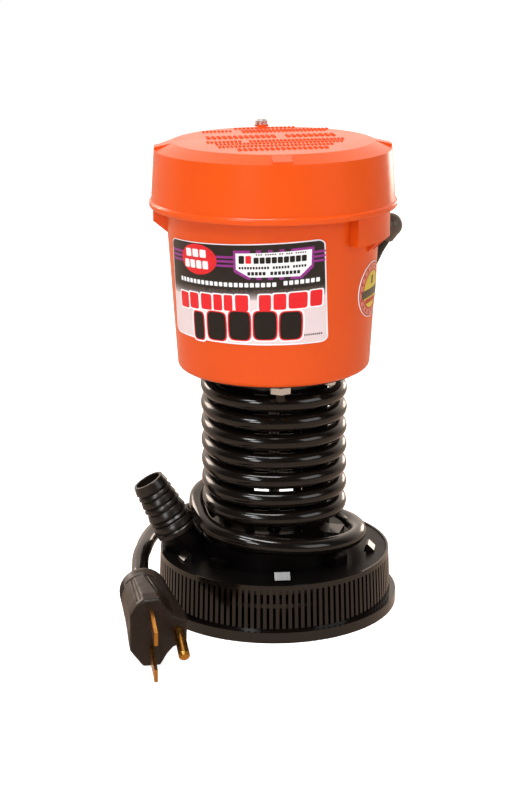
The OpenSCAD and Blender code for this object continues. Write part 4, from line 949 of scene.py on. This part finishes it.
FINISHES = {
    BLACK: ["strainer_basket", "chamber_cover", "column"],
    SHADED_DECK: ["pump_housing"],
    ORANGE: ["motor_can", "cap"],
    ZINC: ["cover_screws", "column_foot_screws", "can_screws", "cap_screw", "stud_nuts"],
    OILED: ["through_studs"],
    STEEL: ["shaft", "shaft_collars"],
    PRESSED: ["lower_bracket", "upper_bracket", "spacer_sleeves"],
    BRONZE: ["lower_bearing", "upper_bearing"],
    LAMINATION: ["stator_stack"],
    CAST: ["rotor_core"],
    NYLON: ["cooling_fan", "impeller"],
    RUBBER: ["slinger"],
    SLEEVE: ["thermal_protector", "inner_leads"],
    BOOT: ["cord_gland"],
    PAPER: ["front_label", "side_label"],
    BRASS: ["plug_blades", "plug_earth_pin"],
}
for finish, names in FINISHES.items():
    for name in names:
        mesh = NODES[name].data
        mesh.materials.clear()
        mesh.materials.append(finish)

# ------------------------------------------------------------------ floor and light

WHITE, WARM = (1.0, 1.0, 1.0), (1.0, 0.84, 0.72)
FLOOR_HALF, FLOOR_ROUGH, FLOOR_WHITE = 3.0, 0.9, 0.78
FLOOR_GLOSS, FLOOR_GLOSS_LEVEL = (1.0, 0.73, 0.56, 1.0), 0.72
# The world's soft light, and what it shows in gloss at two shares of the way to the back
WORLD_LEVEL = 0.32
GLOSS_FRONT, GLOSS_FRONT_Y, GLOSS_BACK, GLOSS_BACK_Y = 0.06, 0.1, 1.3, 0.75
# Soft boxes: name, place, aim, size, watts and tone
LAMPS = [
    ("key_box", (-0.75, -0.9, 1.1), (0, 0, 0.12), (0.4, 0.3), 5.8, WHITE),
    ("front_box", (-0.5, -0.95, 0.47), (0, 0, 0.06), (0.26, 0.26), 2.3, WHITE),
    ("fill_box", (0.9, -0.7, 0.6), (0, 0, 0.12), (0.7, 0.6), 3.5, WHITE),
    ("top_box", (-0.16, -0.3, 1.25), (0, 0, 0.05), (0.62, 0.26), 8.2, WHITE),
    ("left_rim_box", (-0.76, 0.86, 0.54), (-0.04, 0, 0.03), (0.4, 0.4), 4.5, WARM),
    ("right_rim_box", (0.72, 1.1, 0.16), (0.04, 0, 0.03), (0.4, 0.3), 2, WARM),
]


def lay_floor():
    """A wide white floor that keeps a soft shadow; in gloss it is a dimmer, warmer white."""
    material, tree, shader, _ = start_finish("studio_floor")
    seen = add(tree, "ShaderNodeLightPath")
    white = add(tree, "ShaderNodeEmission", {"Color": (*WHITE, 1.0), "Strength": FLOOR_WHITE})
    warm = add(tree, "ShaderNodeEmission", {"Color": FLOOR_GLOSS, "Strength": FLOOR_GLOSS_LEVEL})
    give(tree, shader, {"Base Color": colour("#F4F4F4"), "Roughness": FLOOR_ROUGH,
                        "Specular IOR Level": 0.0})
    both = add(tree, "ShaderNodeAddShader", {0: shader.outputs[0], 1: white.outputs[0]})
    to_eye = add(tree, "ShaderNodeMixShader", {
        0: seen.outputs["Is Camera Ray"], 1: shader.outputs[0], 2: both.outputs[0]})
    pick = add(tree, "ShaderNodeMixShader", {
        0: seen.outputs["Is Glossy Ray"], 1: to_eye.outputs[0], 2: warm.outputs[0]})
    give(tree, tree.nodes["Material Output"], {"Surface": pick.outputs[0]})
    mesh = bpy.data.meshes.new("floor")
    corners = [(x * FLOOR_HALF, y * FLOOR_HALF, 0) for x, y in ((-1, -1), (1, -1), (1, 1), (-1, 1))]
    mesh.from_pydata(corners, [], [(0, 1, 2, 3)])
    mesh.materials.append(material)
    floor = bpy.data.objects.new("floor", mesh)
    bpy.context.scene.collection.objects.link(floor)


def light_world():
    """White to the eye; in gloss bright and warm behind and dim in front, so that dark gloss stays
    dark; and plain soft light on everything else."""
    world = bpy.data.worlds.new("studio")
    bpy.context.scene.world = world
    world.use_nodes = True
    tree = world.node_tree
    tree.nodes.clear()
    seen = add(tree, "ShaderNodeLightPath")
    in_gloss = seen.outputs["Is Glossy Ray"]
    way = add(tree, "ShaderNodeTexCoord").outputs["Generated"]
    back = add(tree, "ShaderNodeSeparateXYZ", {"Vector": way}).outputs["Y"]
    gloss = spread(tree, back, GLOSS_FRONT, GLOSS_BACK, GLOSS_FRONT_Y, GLOSS_BACK_Y)
    plain = add(tree, "ShaderNodeMix", {"Factor": in_gloss, "A": WORLD_LEVEL, "B": gloss},
                data_type="FLOAT")
    shown = maths(tree, "MAXIMUM", seen.outputs["Is Camera Ray"],
                  seen.outputs["Is Transmission Ray"])
    level = add(tree, "ShaderNodeMix", {"Factor": shown, "A": plain.outputs["Result"], "B": 1.0},
                data_type="FLOAT")
    sky = add(tree, "ShaderNodeBackground", {
        "Color": mix(tree, in_gloss, (*WHITE, 1.0), (*WARM, 1.0)),
        "Strength": level.outputs["Result"]})
    add(tree, "ShaderNodeOutputWorld", {"Surface": sky.outputs[0]})


def hang_lamp(name, place, aim, size, watts, tone):
    """A square soft box at a place, facing a point."""
    data = bpy.data.lights.new(name, "AREA")
    data.shape = "RECTANGLE"
    data.size, data.size_y = size
    data.energy = watts
    data.color = tone
    lamp = bpy.data.objects.new(name, data)
    lamp.location = place
    toward = np.array(aim) - np.array(place)
    flat = math.hypot(toward[0], toward[1])
    lamp.rotation_euler = (math.atan2(flat, -toward[2]), 0, math.atan2(-toward[0], toward[1]))
    bpy.context.scene.collection.objects.link(lamp)


lay_floor()
light_world()
for lamp in LAMPS:
    hang_lamp(*lamp)
